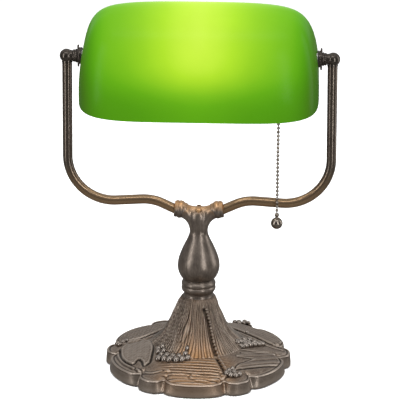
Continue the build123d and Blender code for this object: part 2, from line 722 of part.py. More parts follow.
with BuildPart() as socket_liner:
    extrude(
        ring(across_pivot(SOCKET_MOUTH + 1.5), SOCKET_SHELL_RADIUS - SOCKET_SHELL_WALL - FIT, 15.9),
        amount=SWITCH_BACK - SOCKET_MOUTH - 1.5,
    )
    extrude(bell_cut, amount=BELL_TOP - BELL_MOUTH + 4, mode=Mode.SUBTRACT)
socket_liner.part.label = "socket_liner"
export_step(socket_liner.part, "parts/socket_liner.step")

with BuildPart() as switch_body:
    extrude(disc(across_pivot(SWITCH_FRONT), SWITCH_RADIUS), amount=SWITCH_BACK - SWITCH_FRONT)
    with BuildSketch(Plane.XY.offset(SPRING_FLOOR)):
        with Locations((CHAIN_X, -4.75)):
            Rectangle(6.4, 16.5)
    extrude(amount=15.0, mode=Mode.SUBTRACT)
    with BuildSketch(Plane.XY.offset(290)):
        with Locations((CHAIN_X, CHAIN_Y)):
            Circle(1.3)
    extrude(amount=SPRING_FLOOR - 290 + 1, mode=Mode.SUBTRACT)
    extrude(bell_cut, amount=BELL_TOP - BELL_MOUTH + FIT, mode=Mode.SUBTRACT)
    rotor_bearing = Plane(origin=(CHAIN_X - 5, ROTOR_Y, ROTOR_Z), x_dir=(0, 1, 0), z_dir=(1, 0, 0))
    extrude(disc(rotor_bearing, 1.2 + RUNNING), amount=10, mode=Mode.SUBTRACT)
switch_body.part.label = "switch_body"
export_step(switch_body.part, "parts/switch_body.step")

with BuildPart() as screw_shell:
    extrude(
        ring(across_pivot(SOCKET_MOUTH + 2.0), SCREW_SHELL_RADIUS, SCREW_SHELL_BORE),
        amount=SWITCH_FRONT - SOCKET_MOUTH - 2.0,
    )
    extrude(ring(across_pivot(SWITCH_FRONT - 0.6), SCREW_SHELL_RADIUS, 6.5), amount=0.6)
screw_shell.part.label = "screw_shell"
export_step(screw_shell.part, "parts/screw_shell.step")

with BuildPart() as centre_contact:
    extrude(disc(across_pivot(CONTACT_FACE), 3.6), amount=SWITCH_FRONT - CONTACT_FACE)
centre_contact.part.label = "centre_contact"
export_step(centre_contact.part, "parts/centre_contact.step")

with BuildPart() as chain_bell:
    with BuildSketch(CHAIN_PLANE):
        with BuildLine():
            Line((1.9, BELL_TOP), (3.2, BELL_TOP))
            Line((3.2, BELL_TOP), (3.2, 292.5))
            ThreePointArc((3.2, 292.5), (3.6, 290.2), (4.7, BELL_MOUTH))
            Line((4.7, BELL_MOUTH), (3.7, BELL_MOUTH))
            ThreePointArc((3.7, BELL_MOUTH), (2.5, 290.4), (1.9, 293.0))
            Line((1.9, 293.0), (1.9, BELL_TOP))
        make_face()
    revolve(axis=CHAIN_AXIS)
chain_bell.part.label = "chain_bell"
export_step(chain_bell.part, "parts/chain_bell.step")

# ---------------------------------------------------------------- bulb
with BuildPart() as bulb_glass:
    revolve(bulb_profile(0), axis=PIVOT_AXIS)
    revolve(bulb_profile(BULB_WALL), axis=PIVOT_AXIS, mode=Mode.SUBTRACT)
bulb_glass.part.label = "bulb_glass"
export_step(bulb_glass.part, "parts/bulb_glass.step")

with BuildPart() as bulb_cap:
    revolve(
        outline(
            PIVOT_PLANE,
            [
                (39.0, BULB_NECK_RADIUS + FIT),
                (39.0, BULB_CAP_RADIUS),
                (61.5, BULB_CAP_RADIUS),
                (64.1, 6.0),
                (64.1, 0),
                (62.5, 0),
                (60.5, 11.0),
                (41.0 + FIT, 11.5),
                (41.0 + FIT, BULB_NECK_RADIUS + FIT),
            ],
        ),
        axis=PIVOT_AXIS,
    )
bulb_cap.part.label = "bulb_cap"
export_step(bulb_cap.part, "parts/bulb_cap.step")

with BuildPart() as bulb_contact:
    extrude(disc(across_pivot(64.1), 4.4), amount=CONTACT_FACE - 64.1)
bulb_contact.part.label = "bulb_contact"
export_step(bulb_contact.part, "parts/bulb_contact.step")

with BuildPart() as bulb_stem:
    revolve(
        outline(
            PIVOT_PLANE,
            [(40.1, 0), (40.1, 9.0), (38.6, 8.6), (33.0, 4.2), (18.0, 3.0), (16.0, 2.2), (15.0, 0)],
        ),
        axis=PIVOT_AXIS,
    )
bulb_stem.part.label = "bulb_stem"
export_step(bulb_stem.part, "parts/bulb_stem.step")

with BuildPart() as bulb_filament:
    with BuildLine(PIVOT_PLANE):
        FilletPolyline((15.0, 1.2), (2.0, 9.0), (-6.0, 5.0), (-6.0, -5.0), (2.0, -9.0), (15.0, -1.2),
                       radius=2.0)
    filament_start = Plane(
        origin=(15.0, 0, PIVOT_Z + 1.2), x_dir=(0, 1, 0), z_dir=(2.0 - 15.0, 0, 9.0 - 1.2)
    )
    sweep(disc(filament_start, 0.35))
bulb_filament.part.label = "bulb_filament"
export_step(bulb_filament.part, "parts/bulb_filament.step")

# ---------------------------------------------------------------- pull switch and chain
with BuildPart() as pull_link:
    with BuildSketch(CHAIN_PLANE):
        with BuildLine():
            Polyline(
                (0, UPPER_SWIVEL_Z),
                (0.7, UPPER_SWIVEL_Z),
                (0.7, SPRING_TOP),
                (2.3, SPRING_TOP),
                (2.3, LINK_TOP),
                (0, LINK_TOP),
                close=True,
            )
        make_face()
    revolve(axis=CHAIN_AXIS)
    with Locations((CHAIN_X, CHAIN_Y, UPPER_SWIVEL_Z)):
        Sphere(BEAD_RADIUS)
pull_link.part.label = "pull_link"
export_step(pull_link.part, "parts/pull_link.step")

with BuildPart() as return_spring:
    coil_radius = 1.75
    coil_turns = 5
    wire_radius = 0.3
    coil_height = SPRING_TOP - SPRING_FLOOR - 2 * wire_radius - 0.1
    with BuildLine(Plane(origin=(CHAIN_X, CHAIN_Y, SPRING_FLOOR + wire_radius + 0.05))):
        Helix(pitch=coil_height / coil_turns, height=coil_height, radius=coil_radius)
    wire_start = Plane(
        origin=(CHAIN_X + coil_radius, CHAIN_Y, SPRING_FLOOR + wire_radius + 0.05),
        x_dir=(1, 0, 0),
        z_dir=(0, 2 * pi * coil_radius, coil_height / coil_turns),
    )
    sweep(disc(wire_start, wire_radius), is_frenet=True)
return_spring.part.label = "return_spring"
export_step(return_spring.part, "parts/return_spring.step")

with BuildPart() as switch_rotor:
    rotor_face = Plane(origin=(CHAIN_X - 2, ROTOR_Y, ROTOR_Z), x_dir=(0, 1, 0), z_dir=(1, 0, 0))
    with BuildSketch(rotor_face):
        Circle(ROTOR_RADIUS)
        with PolarLocations(ROTOR_RADIUS, 8):
            Circle(0.8, mode=Mode.SUBTRACT)
    extrude(amount=4)
    extrude(disc(rotor_face.offset(-2.6), 1.2), amount=9.2)
switch_rotor.part.label = "switch_rotor"
export_step(switch_rotor.part, "parts/switch_rotor.step")

with BuildPart() as chain_coupling:
    with BuildSketch(CHAIN_PLANE):
        with BuildLine():
            Polyline(
                (0, 283.45),
                (1.5, 283.45),
                (1.5, 280.6),
                (2.1, 280.6),
                (2.1, 287.0),
                (1.5, 287.0),
                (1.5, 284.15),
                (0, 284.15),
                close=True,
            )
        make_face()
    revolve(axis=CHAIN_AXIS)
chain_coupling.part.label = "chain_coupling"
export_step(chain_coupling.part, "parts/chain_coupling.step")

chain_bottom = KNOB_Z + KNOB_RADIUS + 3.0
bead_count = int((LOWER_SWIVEL_Z - chain_bottom) / BEAD_PITCH) + 1
with BuildPart() as pull_chain:
    with Locations(*[
        (CHAIN_X, CHAIN_Y, LOWER_SWIVEL_Z - bead * BEAD_PITCH) for bead in range(bead_count)
    ]):
        Sphere(BEAD_RADIUS)
    with BuildSketch(Plane(origin=(CHAIN_X, CHAIN_Y, LOWER_SWIVEL_Z), z_dir=(0, 0, -1))):
        Circle(BEAD_LINK_RADIUS)
    extrude(amount=(bead_count - 1) * BEAD_PITCH)
pull_chain.part.label = "pull_chain"
export_step(pull_chain.part, "parts/pull_chain.step")

last_bead_z = LOWER_SWIVEL_Z - (bead_count - 1) * BEAD_PITCH
with BuildPart() as chain_knob:
    with Locations((CHAIN_X, CHAIN_Y, KNOB_Z)):
        Sphere(KNOB_RADIUS)
    with BuildSketch(CHAIN_PLANE):
        with BuildLine():
            Polyline(
                (0, KNOB_Z + KNOB_RADIUS - 1),
                (1.9, KNOB_Z + KNOB_RADIUS - 1),
                (1.7, KNOB_Z + KNOB_RADIUS + 1.2),
                (2.2, last_bead_z + 1.0),
                (0, last_bead_z + 1.0),
                close=True,
            )
        make_face()
    revolve(axis=CHAIN_AXIS)
    with Locations((CHAIN_X, CHAIN_Y, last_bead_z)):
        Sphere(BEAD_RADIUS + FIT, mode=Mode.SUBTRACT)
    with BuildSketch(Plane(origin=(CHAIN_X, CHAIN_Y, last_bead_z))):
        Circle(BEAD_LINK_RADIUS + FIT)
    extrude(amount=3, mode=Mode.SUBTRACT)
chain_knob.part.label = "chain_knob"
export_step(chain_knob.part, "parts/chain_knob.step")

# ---------------------------------------------------------------- lead inside the stand
# From the terminal block up the rod, through the right branch, arm and ball to the switch.
lead_points = [
    (0, LEAD_START_Y, INLET_Z),
    (0, 0, INLET_Z),
    (0, 0, FORK_Z),
    (ARM_CORNER_LOW[0], 0, ARM_CORNER_LOW[1]),
    (ARM_CORNER_OUT[0], 0, ARM_CORNER_OUT[1]),
    (LEAD_TURN_X, 0, PIVOT_Z),
    (SWITCH_BACK + FIT, 0, PIVOT_Z),
]
lead_radii = [LEAD_BEND_BASE, LEAD_BEND_FORK, ARM_BEND_LOW, ARM_BEND_OUT, LEAD_BEND_BALL]
with BuildPart() as socket_lead:
    with BuildLine():
        FilletPolyline(*lead_points, radius=lead_radii)
    lead_start = Plane(origin=lead_points[0], x_dir=(1, 0, 0), z_dir=(0, -1, 0))
    sweep(disc(lead_start, LEAD_RADIUS))
socket_lead.part.label = "socket_lead"
export_step(socket_lead.part, "parts/socket_lead.step")

lead_length = bent_length(lead_points, lead_radii)
section_volume = pi * LEAD_RADIUS**2 * lead_length
print(f"socket lead: length {lead_length:.1f} mm, bend radii {lead_radii}")
print(f"socket lead: volume {socket_lead.part.volume:.1f}, section x length {section_volume:.1f}")
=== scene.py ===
import json
from math import acos, atan2, cos, exp, pi, radians, sin, sqrt, tan

import bmesh
import bpy
import numpy as np
from mathutils import Matrix, Vector


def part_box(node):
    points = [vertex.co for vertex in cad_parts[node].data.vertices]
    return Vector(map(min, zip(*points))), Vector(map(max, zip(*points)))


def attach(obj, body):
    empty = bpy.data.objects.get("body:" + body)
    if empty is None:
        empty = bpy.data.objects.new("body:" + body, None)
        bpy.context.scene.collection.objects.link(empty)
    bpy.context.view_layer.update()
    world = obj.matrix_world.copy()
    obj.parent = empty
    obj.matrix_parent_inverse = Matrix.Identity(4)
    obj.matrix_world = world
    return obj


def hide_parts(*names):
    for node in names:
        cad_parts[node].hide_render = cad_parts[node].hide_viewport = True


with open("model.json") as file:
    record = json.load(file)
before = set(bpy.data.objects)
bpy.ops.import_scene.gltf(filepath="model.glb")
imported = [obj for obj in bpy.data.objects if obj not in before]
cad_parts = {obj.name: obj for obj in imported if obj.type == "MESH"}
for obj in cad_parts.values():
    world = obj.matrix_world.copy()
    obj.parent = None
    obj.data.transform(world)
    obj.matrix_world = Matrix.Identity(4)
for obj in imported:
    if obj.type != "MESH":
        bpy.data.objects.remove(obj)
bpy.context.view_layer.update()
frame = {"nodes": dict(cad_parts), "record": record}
MM = 0.001
NODES = frame["nodes"]
SIDES = (("left", -1), ("right", 1))

# --- places read from the frame
PIVOT_Z = (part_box("bulb_contact")[0].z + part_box("bulb_contact")[1].z) / 2 / MM
BALL_X = (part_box("ball_end_right")[0].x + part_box("ball_end_right")[1].x) / 2 / MM
COLLAR_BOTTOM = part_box("column_collar")[0].z / MM
COLLAR_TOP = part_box("column_collar")[1].z / MM
ARM_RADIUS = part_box("arm_right")[1].y / MM
SHADE_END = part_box("shade_glass")[1].x / MM
AXIS_POINT = (0, 0, PIVOT_Z)         # on the pivot axis, which the socket and the bulb share
CHAIN_X = (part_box("chain_knob")[0].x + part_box("chain_knob")[1].x) / 2 / MM
CHAIN_Y = (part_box("chain_knob")[0].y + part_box("chain_knob")[1].y) / 2 / MM


# --- mesh helpers
def linked(name, data):
    """New object in the scene for a mesh, a light or a camera."""
    obj = bpy.data.objects.new(name, data)
    bpy.context.scene.collection.objects.link(obj)
    return obj


def mesh_object(name, verts, faces):
    """Object from vertices in millimetres and faces as lists of indices."""
    mesh = bpy.data.meshes.new(name)
    mesh.from_pydata([tuple(c * MM for c in v) for v in np.asarray(verts, float).tolist()], [], faces)
    mesh.validate()
    mesh.update()
    mesh.shade_smooth()
    return linked(name, mesh)


def grid_faces(rows, columns):
    """Quads of a grid of vertices stored row by row, each row closed into a ring."""
    faces = []
    for i in range(rows - 1):
        for j in range(columns):
            k = (j + 1) % columns
            a = i * columns
            faces.append((a + j, a + k, a + columns + k, a + columns + j))
    return faces


def end_caps(rings, columns):
    """Faces that close the first and last ring of a grid."""
    last = (rings - 1) * columns
    return [tuple(range(columns))[::-1], tuple(last + j for j in range(columns))]


def smooth_line(points, steps=6):
    """Points along a Catmull-Rom curve through the given points."""
    p = np.array(points, float)
    padded = np.vstack([2 * p[0] - p[1], p, 2 * p[-1] - p[-2]])
    result = []
    for i in range(1, len(padded) - 2):
        a, b, c, d = padded[i - 1:i + 3]
        for t in np.linspace(0, 1, steps, endpoint=False):
            result.append(
                0.5 * (2 * b + (c - a) * t + (2 * a - 5 * b + 4 * c - d) * t**2
                       + (3 * b - a - 3 * c + d) * t**3)
            )
    result.append(p[-1])
    return np.array(result)


def turned(name, profile, origin=(0, 0, 0), direction=(0, 0, 1), segments=72, closed=False):
    """Solid of revolution: profile is (radius, distance along the axis) in millimetres."""
    axis = Vector(direction).normalized()
    side = axis.orthogonal().normalized()
    up = axis.cross(side)
    start = Vector(origin)
    verts = []
    for radius, along in profile:
        for j in range(segments):
            angle = 2 * pi * j / segments
            radial = side * cos(angle) + up * sin(angle)
            verts.append(tuple(start + axis * float(along) + radial * max(float(radius), 1e-4)))
    faces = grid_faces(len(profile), segments)
    if closed:
        last = (len(profile) - 1) * segments
        for j in range(segments):
            k = (j + 1) % segments
            faces.append((last + j, last + k, k, j))
    obj = mesh_object(name, verts, faces)
    clean(obj)
    return obj


WELD_DISTANCE = 2e-6                 # metres


def clean(obj):
    """Weld doubled vertices and point the faces outwards."""
    work = bmesh.new()
    work.from_mesh(obj.data)
    bmesh.ops.remove_doubles(work, verts=work.verts, dist=WELD_DISTANCE)
    bmesh.ops.recalc_face_normals(work, faces=work.faces)
    work.to_mesh(obj.data)
    work.free()
    obj.data.shade_smooth()


def swept(name, path, radius, segments=32):
    """Round tube along a list of points in millimetres, closed at both ends."""
    p = np.array(path, float)
    tangents = np.gradient(p, axis=0)
    tangents /= np.linalg.norm(tangents, axis=1)[:, None]
    normal = np.array([0.0, 1.0, 0.0])
    rings = []
    for point, tangent in zip(p, tangents):
        normal = normal - tangent * normal.dot(tangent)
        normal /= np.linalg.norm(normal)
        binormal = np.cross(tangent, normal)
        angles = np.arange(segments) * 2 * pi / segments
        rings.append(point + radius * (np.outer(np.cos(angles), normal)
                                       + np.outer(np.sin(angles), binormal)))
    return mesh_object(name, np.vstack(rings), grid_faces(len(p), segments) + end_caps(len(p), segments))


def joined(name, objects):
    """One object from several."""
    bpy.ops.object.select_all(action="DESELECT")
    for obj in objects:
        obj.select_set(True)
    bpy.context.view_layer.objects.active = objects[0]
    bpy.ops.object.join()
    objects[0].name = name
    objects[0].data.name = name
    return objects[0]


def applied(obj):
    """Bake the object's modifiers into its mesh."""
    bpy.context.view_layer.objects.active = obj
    depsgraph = bpy.context.evaluated_depsgraph_get()
    mesh = bpy.data.meshes.new_from_object(obj.evaluated_get(depsgraph))
    obj.modifiers.clear()
    obj.data = mesh
    mesh.shade_smooth()
    return obj


def point_values(obj, name, values):
    """Store one number for each vertex, for the materials to read."""
    layer = obj.data.attributes.new(name, "FLOAT", "POINT")
    layer.data.foreach_set("value", np.asarray(values, np.float32))


def coordinates_of(obj):
    """Vertices of an object in millimetres, one row each."""
    return np.array([v.co[:] for v in obj.data.vertices]) / MM


def place(obj, body, material, slot, *replaced):
    """Give a piece its material and body, and the CAD nodes that it stands for."""
    faces = obj.data.polygons
    indices = np.zeros(len(faces), np.int32)
    faces.foreach_get("material_index", indices)
    obj.data.materials.clear()
    for one in material if isinstance(material, list) else [material]:
        obj.data.materials.append(one)
    if len(obj.data.materials) > 1:
        faces.foreach_set("material_index", indices)
    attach(obj, body)
    if replaced:
        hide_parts(*replaced)
    return obj


# --- materials
def srgb(*levels):
    """Linear colour from display levels of 0 to 255."""
    return tuple((c / 255 / 12.92) if c <= 10 else ((c / 255 + 0.055) / 1.055)**2.4 for c in levels)


def new_material(name):
    """New material, its node tree and its Principled shader."""
    material = bpy.data.materials.new(name)
    material.use_nodes = True
    tree = material.node_tree
    shader = tree.nodes["Principled BSDF"]
    return material, tree, shader


def noise_node(tree, scale, detail=4.0, roughness=0.55, stretch=None):
    """Noise in the object's own coordinates, with an optional stretch along its axes."""
    coordinates = tree.nodes.new("ShaderNodeTexCoord")
    texture = tree.nodes.new("ShaderNodeTexNoise")
    texture.inputs["Scale"].default_value = scale
    texture.inputs["Detail"].default_value = detail
    texture.inputs["Roughness"].default_value = roughness
    if stretch:
        mapping = tree.nodes.new("ShaderNodeMapping")
        mapping.inputs["Scale"].default_value = stretch
        tree.links.new(coordinates.outputs["Object"], mapping.inputs["Vector"])
        tree.links.new(mapping.outputs["Vector"], texture.inputs["Vector"])
    else:
        tree.links.new(coordinates.outputs["Object"], texture.inputs["Vector"])
    return texture.outputs["Fac"]


def ramp(tree, source, stops):
    """Colour ramp from (position, colour) stops."""
    node = tree.nodes.new("ShaderNodeValToRGB")
    while len(node.color_ramp.elements) < len(stops):
        node.color_ramp.elements.new(1.0)
    for element, (position, colour) in zip(node.color_ramp.elements, stops):
        element.position = position
        element.color = (*colour, 1.0) if len(colour) == 3 else colour
    tree.links.new(source, node.inputs["Fac"])
    return node.outputs["Color"]


def grey_ramp(tree, source, low, high, low_at=0.3, high_at=0.7):
    """Ramp between two grey values, for roughness and bump."""
    return ramp(tree, source, [(low_at, (low,) * 3), (high_at, (high,) * 3)])


def mix(tree, factor, first, second):
    """Colour mix; factor, first and second are sockets or values."""
    node = tree.nodes.new("ShaderNodeMix")
    node.data_type = "RGBA"
    for socket, value in ((node.inputs["Factor"], factor), (node.inputs[6], first), (node.inputs[7], second)):
        if isinstance(value, bpy.types.NodeSocket):
            tree.links.new(value, socket)
        elif isinstance(value, tuple):
            socket.default_value = (*value, 1.0)
        else:
            socket.default_value = value
    return node.outputs[2]


def bump(tree, shader, heights, distance=0.0002, strength=0.5):
    """Chain of bump nodes from height sockets, into the shader's normal."""
    previous = None
    for height, share in heights:
        node = tree.nodes.new("ShaderNodeBump")
        node.inputs["Strength"].default_value = strength * share
        node.inputs["Distance"].default_value = distance
        tree.links.new(height, node.inputs["Height"])
        if previous:
            tree.links.new(previous, node.inputs["Normal"])
        previous = node.outputs["Normal"]
    tree.links.new(previous, shader.inputs["Normal"])


def attribute(tree, name):
    """Value of a point attribute of the mesh."""
    node = tree.nodes.new("ShaderNodeAttribute")
    node.attribute_name = name
    return node.outputs["Fac"]


def bronze(name, dark, middle, light, painted_gold_highlight, roughness, grain, stretch=None, bump_share=1.0):
    """Patinated bronze: dark patina and painted shade in the hollows, brighter on worn edges and where painted light
    lies, with a painted warm highlight in places.
    """
    material, tree, shader = new_material(name)
    mottle = noise_node(tree, 140.0, 5.0, 0.6)
    cast = noise_node(tree, grain, 6.0, 0.65, stretch)
    base = mix(tree, grey_ramp(tree, mottle, 0.0, 1.0, 0.35, 0.65), dark, middle)
    streak = mix(tree, grey_ramp(tree, cast, 0.0, 0.45, 0.45, 0.75), base, light)
    # painted warm highlight, then wear with painted light, then patina with painted shade
    warm = mix(tree, attribute(tree, "painted_gold_highlight"), streak, painted_gold_highlight)
    wear_and_painted_light = mix(tree, attribute(tree, "wear_and_painted_light"), warm, light)
    patina_and_painted_shade = mix(tree, attribute(tree, "patina_and_painted_shade"), wear_and_painted_light, tuple(c * 0.25 for c in dark))
    tree.links.new(patina_and_painted_shade, shader.inputs["Base Color"])
    tree.links.new(
        grey_ramp(tree, cast, roughness - 0.06 * bump_share, roughness + 0.12 * bump_share),
        shader.inputs["Roughness"]
    )
    shader.inputs["Metallic"].default_value = 0.85
    bump(tree, shader, [(cast, 0.35 * bump_share), (mottle, 0.2 * bump_share)])
    return material


def plain_metal(name, colour, roughness, grain=900.0, stretch=None, metallic=1.0):
    """Machined or plated metal with fine tool marks."""
    material, tree, shader = new_material(name)
    marks = noise_node(tree, grain, 3.0, 0.5, stretch)
    dull = noise_node(tree, 90.0, 4.0, 0.6)
    darker = tuple(c * 0.78 for c in colour)
    tree.links.new(mix(tree, grey_ramp(tree, dull, 0.0, 1.0), darker, colour), shader.inputs["Base Color"])
    tree.links.new(
        grey_ramp(tree, marks, max(0.04, roughness - 0.06), roughness + 0.08), shader.inputs["Roughness"]
    )
    shader.inputs["Metallic"].default_value = metallic
    bump(tree, shader, [(marks, 0.25)], distance=0.00005)
    return material


def soft_material(name, colour, roughness, grain, depth=0.0003, sheen=0.0, spots=0.8):
    """Rubber, plastic, card or felt with its own grain."""
    material, tree, shader = new_material(name)
    grains = noise_node(tree, grain, 6.0, 0.7)
    patches = noise_node(tree, 60.0, 3.0, 0.5)
    darker = tuple(c * spots for c in colour)
    mixed = mix(tree, grey_ramp(tree, grains, 0.0, 1.0), darker, colour)
    tree.links.new(
        mix(tree, grey_ramp(tree, patches, 0.0, 0.35), mixed, darker), shader.inputs["Base Color"]
    )
    tree.links.new(
        grey_ramp(tree, grains, roughness - 0.05, min(1.0, roughness + 0.1)), shader.inputs["Roughness"]
    )
    if sheen:
        shader.inputs["Sheen Weight"].default_value = sheen
    bump(tree, shader, [(grains, 0.8)], distance=depth)
    return material


def lit_glass(name, stops, strength, base, roughness, coat):
    """Cased glass with light coming through it, by the mesh's glow attribute."""
    material, tree, shader = new_material(name)
    cloud = noise_node(tree, 26.0, 3.0, 0.5)
    light = ramp(tree, attribute(tree, "glow"), stops)
    varied = mix(tree, grey_ramp(tree, cloud, 0.0, 0.06), light, stops[1][1])
    tree.links.new(varied, shader.inputs["Emission Color"])
    shader.inputs["Emission Strength"].default_value = strength
    tree.links.new(
        mix(tree, grey_ramp(tree, cloud, 0.0, 1.0), base, tuple(c * 0.9 for c in base)),
        shader.inputs["Base Color"],
    )
    tree.links.new(grey_ramp(tree, cloud, roughness, roughness + 0.05), shader.inputs["Roughness"])
    shader.inputs["Specular IOR Level"].default_value = 0.05
    shader.inputs["Coat Weight"].default_value = coat
    shader.inputs["Coat Roughness"].default_value = 0.04
    bump(tree, shader, [(cloud, 0.15)], distance=0.0006)
    return material


BRONZE_CAST = bronze(
    "bronze_cast", (0.080, 0.066, 0.055), (0.170, 0.142, 0.118), (0.50, 0.435, 0.375),
    (0.40, 0.215, 0.095), 0.33, 900.0,
)
BRONZE_BERRY = bronze(
    "bronze_berry", (0.15, 0.125, 0.108), (0.26, 0.220, 0.190), (0.50, 0.45, 0.40),
    (0.30, 0.19, 0.11), 0.18, 500.0, None, 0.2,
)
BRONZE_COLUMN = bronze(
    "bronze_column", (0.130, 0.107, 0.089), (0.200, 0.166, 0.139), (0.34, 0.29, 0.25),
    (0.62, 0.36, 0.17), 0.33, 700.0, (1.0, 1.0, 0.12), 0.5,
)
BRONZE_TUBE = bronze(
    "bronze_tube", (0.084, 0.068, 0.054), (0.100, 0.082, 0.066), (0.13, 0.108, 0.088),
    (0.52, 0.33, 0.17), 0.22, 500.0, (0.3, 1.0, 0.3), 0.03,
)
BRONZE_FITTING = bronze(
    "bronze_fitting", (0.045, 0.038, 0.033), (0.080, 0.068, 0.058), (0.17, 0.145, 0.12),
    (0.2, 0.12, 0.06), 0.20, 700.0, None, 0.2,
)
SHADE_GREEN = lit_glass(
    "shade_green",
    [
        # chosen after colours read off the lit glass of the reference
        (0.00, srgb(28, 62, 6)), (0.17, srgb(60, 100, 14)), (0.32, srgb(68, 127, 10)), (0.45, srgb(80, 148, 10)),
        (0.56, srgb(97, 167, 16)), (0.66, srgb(122, 186, 26)), (0.76, srgb(150, 205, 34)), (0.86, srgb(178, 225, 44)),
        (0.94, srgb(203, 240, 66)), (1.00, srgb(226, 250, 98)),
    ],
    1.0, (0.010, 0.040, 0.003), 0.24, 0.0,
)
SHADE_OPAL = lit_glass(
    "shade_opal",
    [
        (0.0, (0.30, 0.42, 0.16)),
        (0.2, (0.45, 0.55, 0.25)),
        (0.5, (0.75, 0.80, 0.50)),
        (1.0, (1.0, 0.98, 0.80)),
    ],
    0.9, (0.62, 0.70, 0.48), 0.12, 0.6,
)
BULB_FROST = lit_glass(
    "bulb_frost",
    [(0.0, (0.9, 0.72, 0.42)), (0.2, (1.0, 0.84, 0.58)), (0.5, (1.0, 0.90, 0.70)), (1.0, (1.0, 0.96, 0.85))],
    2.2, (0.9, 0.88, 0.82), 0.35, 0.2,
)
NICKEL = plain_metal("chain_nickel", (0.27, 0.235, 0.200), 0.16)
SOCKET_BRASS = plain_metal("socket_brass", (0.58, 0.40, 0.17), 0.24)
BULB_ALUMINIUM = plain_metal("bulb_aluminium", (0.72, 0.72, 0.72), 0.3)
PLAIN_STEEL = plain_metal("plain_steel", (0.45, 0.45, 0.46), 0.35)
BALLAST_IRON = plain_metal("ballast_iron", (0.10, 0.10, 0.10), 0.6, 300.0, None, 0.7)
FELT = soft_material("felt_green", (0.035, 0.075, 0.045), 0.9, 1600.0, 0.0006, 0.5, 0.55)
RUBBER = soft_material("black_rubber", (0.02, 0.02, 0.02), 0.6, 900.0)
NYLON = soft_material("white_nylon", (0.72, 0.71, 0.66), 0.4, 500.0, 0.0001, 0.0, 0.92)
PHENOLIC = soft_material("brown_phenolic", (0.05, 0.03, 0.02), 0.3, 300.0, 0.0001)
CARD = soft_material("liner_card", (0.42, 0.30, 0.18), 0.85, 1200.0, 0.0004)
LEAD_SLEEVE = soft_material("lead_sleeve", (0.55, 0.50, 0.40), 0.4, 400.0, 0.0001, 0.0, 0.9)

SLOT_MATERIALS = {
    "bronze_casting": BRONZE_CAST, "bronze_tube": BRONZE_FITTING, "felt": FELT,
    "plain_steel": PLAIN_STEEL, "ballast_iron": BALLAST_IRON, "black_rubber": RUBBER,
    "nylon": NYLON, "phenolic": PHENOLIC, "liner_card": CARD, "socket_brass": SOCKET_BRASS,
    "green_glass": SHADE_GREEN, "bulb_white": BULB_FROST, "bulb_metal": BULB_ALUMINIUM,
    "chain_nickel": NICKEL, "lead_sleeve": LEAD_SLEEVE,
}
for entry in frame["record"]["subparts"]:
    node = NODES[entry["node"]]
    node.data.materials.clear()
    node.data.materials.append(SLOT_MATERIALS[entry["material_slot"]])


# --- base: outline and relief
LOBE_HALF_ANGLE = 20.5
LOBE_RADIUS, SMALL_LOBE_RADIUS, NOTCH_RADIUS = 91.0, 92.4, 84.5
RIM_TOP = 13.0
RIM_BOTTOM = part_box("base_casting")[0].z / MM
RECESS_RADIUS = 79.3
SKIRT_RADIUS = 45.5                 # where the cone's flutes end


def edge_radius(angle, notch=NOTCH_RADIUS):
    """Radius of the lobed outline at angles in radians: flat-fronted lobes joined by small coves."""
    turn = np.arange(1440) * 0.25
    wide = np.abs((turn + 30.0) % 60.0 - 30.0)
    narrow = np.abs(turn % 60.0 - 30.0)
    share = wide / LOBE_HALF_ANGLE
    small_share = narrow / (30.0 - LOBE_HALF_ANGLE)
    on_wide = LOBE_RADIUS - (LOBE_RADIUS - notch) * (0.3 * share**2 + 0.7 * share**8)
    on_narrow = SMALL_LOBE_RADIUS - (SMALL_LOBE_RADIUS - notch) * (0.2 * small_share**2 + 0.8 * small_share**4)
    radius = np.where(wide <= LOBE_HALF_ANGLE, on_wide, on_narrow)
    window = np.exp(-(np.arange(-12, 13) / 4.2)**2)
    padded = np.concatenate([radius[-12:], radius, radius[:12]])
    soft = np.convolve(padded, window / window.sum(), "valid")
    return np.interp((np.degrees(angle) + 90.0) % 360.0, turn, soft, period=360.0)


def smoothstep(low, high, value):
    """Smooth rise from 0 at low to 1 at high."""
    t = np.clip((value - low) / (high - low), 0, 1)
    return t * t * (3 - 2 * t)


def wave_noise(x, y, scale, seed):
    """Cheap smooth noise from a few crossed waves."""
    rng = np.random.default_rng(seed)
    total = np.zeros_like(x)
    for _ in range(7):
        direction = rng.uniform(0, 2 * pi)
        pitch = scale * rng.uniform(0.6, 1.6)
        phase = rng.uniform(0, 2 * pi)
        total += np.sin((x * cos(direction) + y * sin(direction)) * 2 * pi / pitch + phase)
    return total / 7


def along_line(x, y, points):
    """Distance to a polyline, and how far along it the nearest point is (0 to 1)."""
    p = np.array(points, float)
    lengths = np.linalg.norm(np.diff(p, axis=0), axis=1)
    total, start = lengths.sum(), 0.0
    best = np.full(x.shape, 1e9)
    where = np.zeros(x.shape)
    for a, b, length in zip(p[:-1], p[1:], lengths):
        d = (b - a) / length
        t = np.clip((x - a[0]) * d[0] + (y - a[1]) * d[1], 0, length)
        distance = np.hypot(x - a[0] - d[0] * t, y - a[1] - d[1] * t)
        closer = distance < best
        best = np.where(closer, distance, best)
        where = np.where(closer, (start + t) / total, where)
        start += length
    return best, where


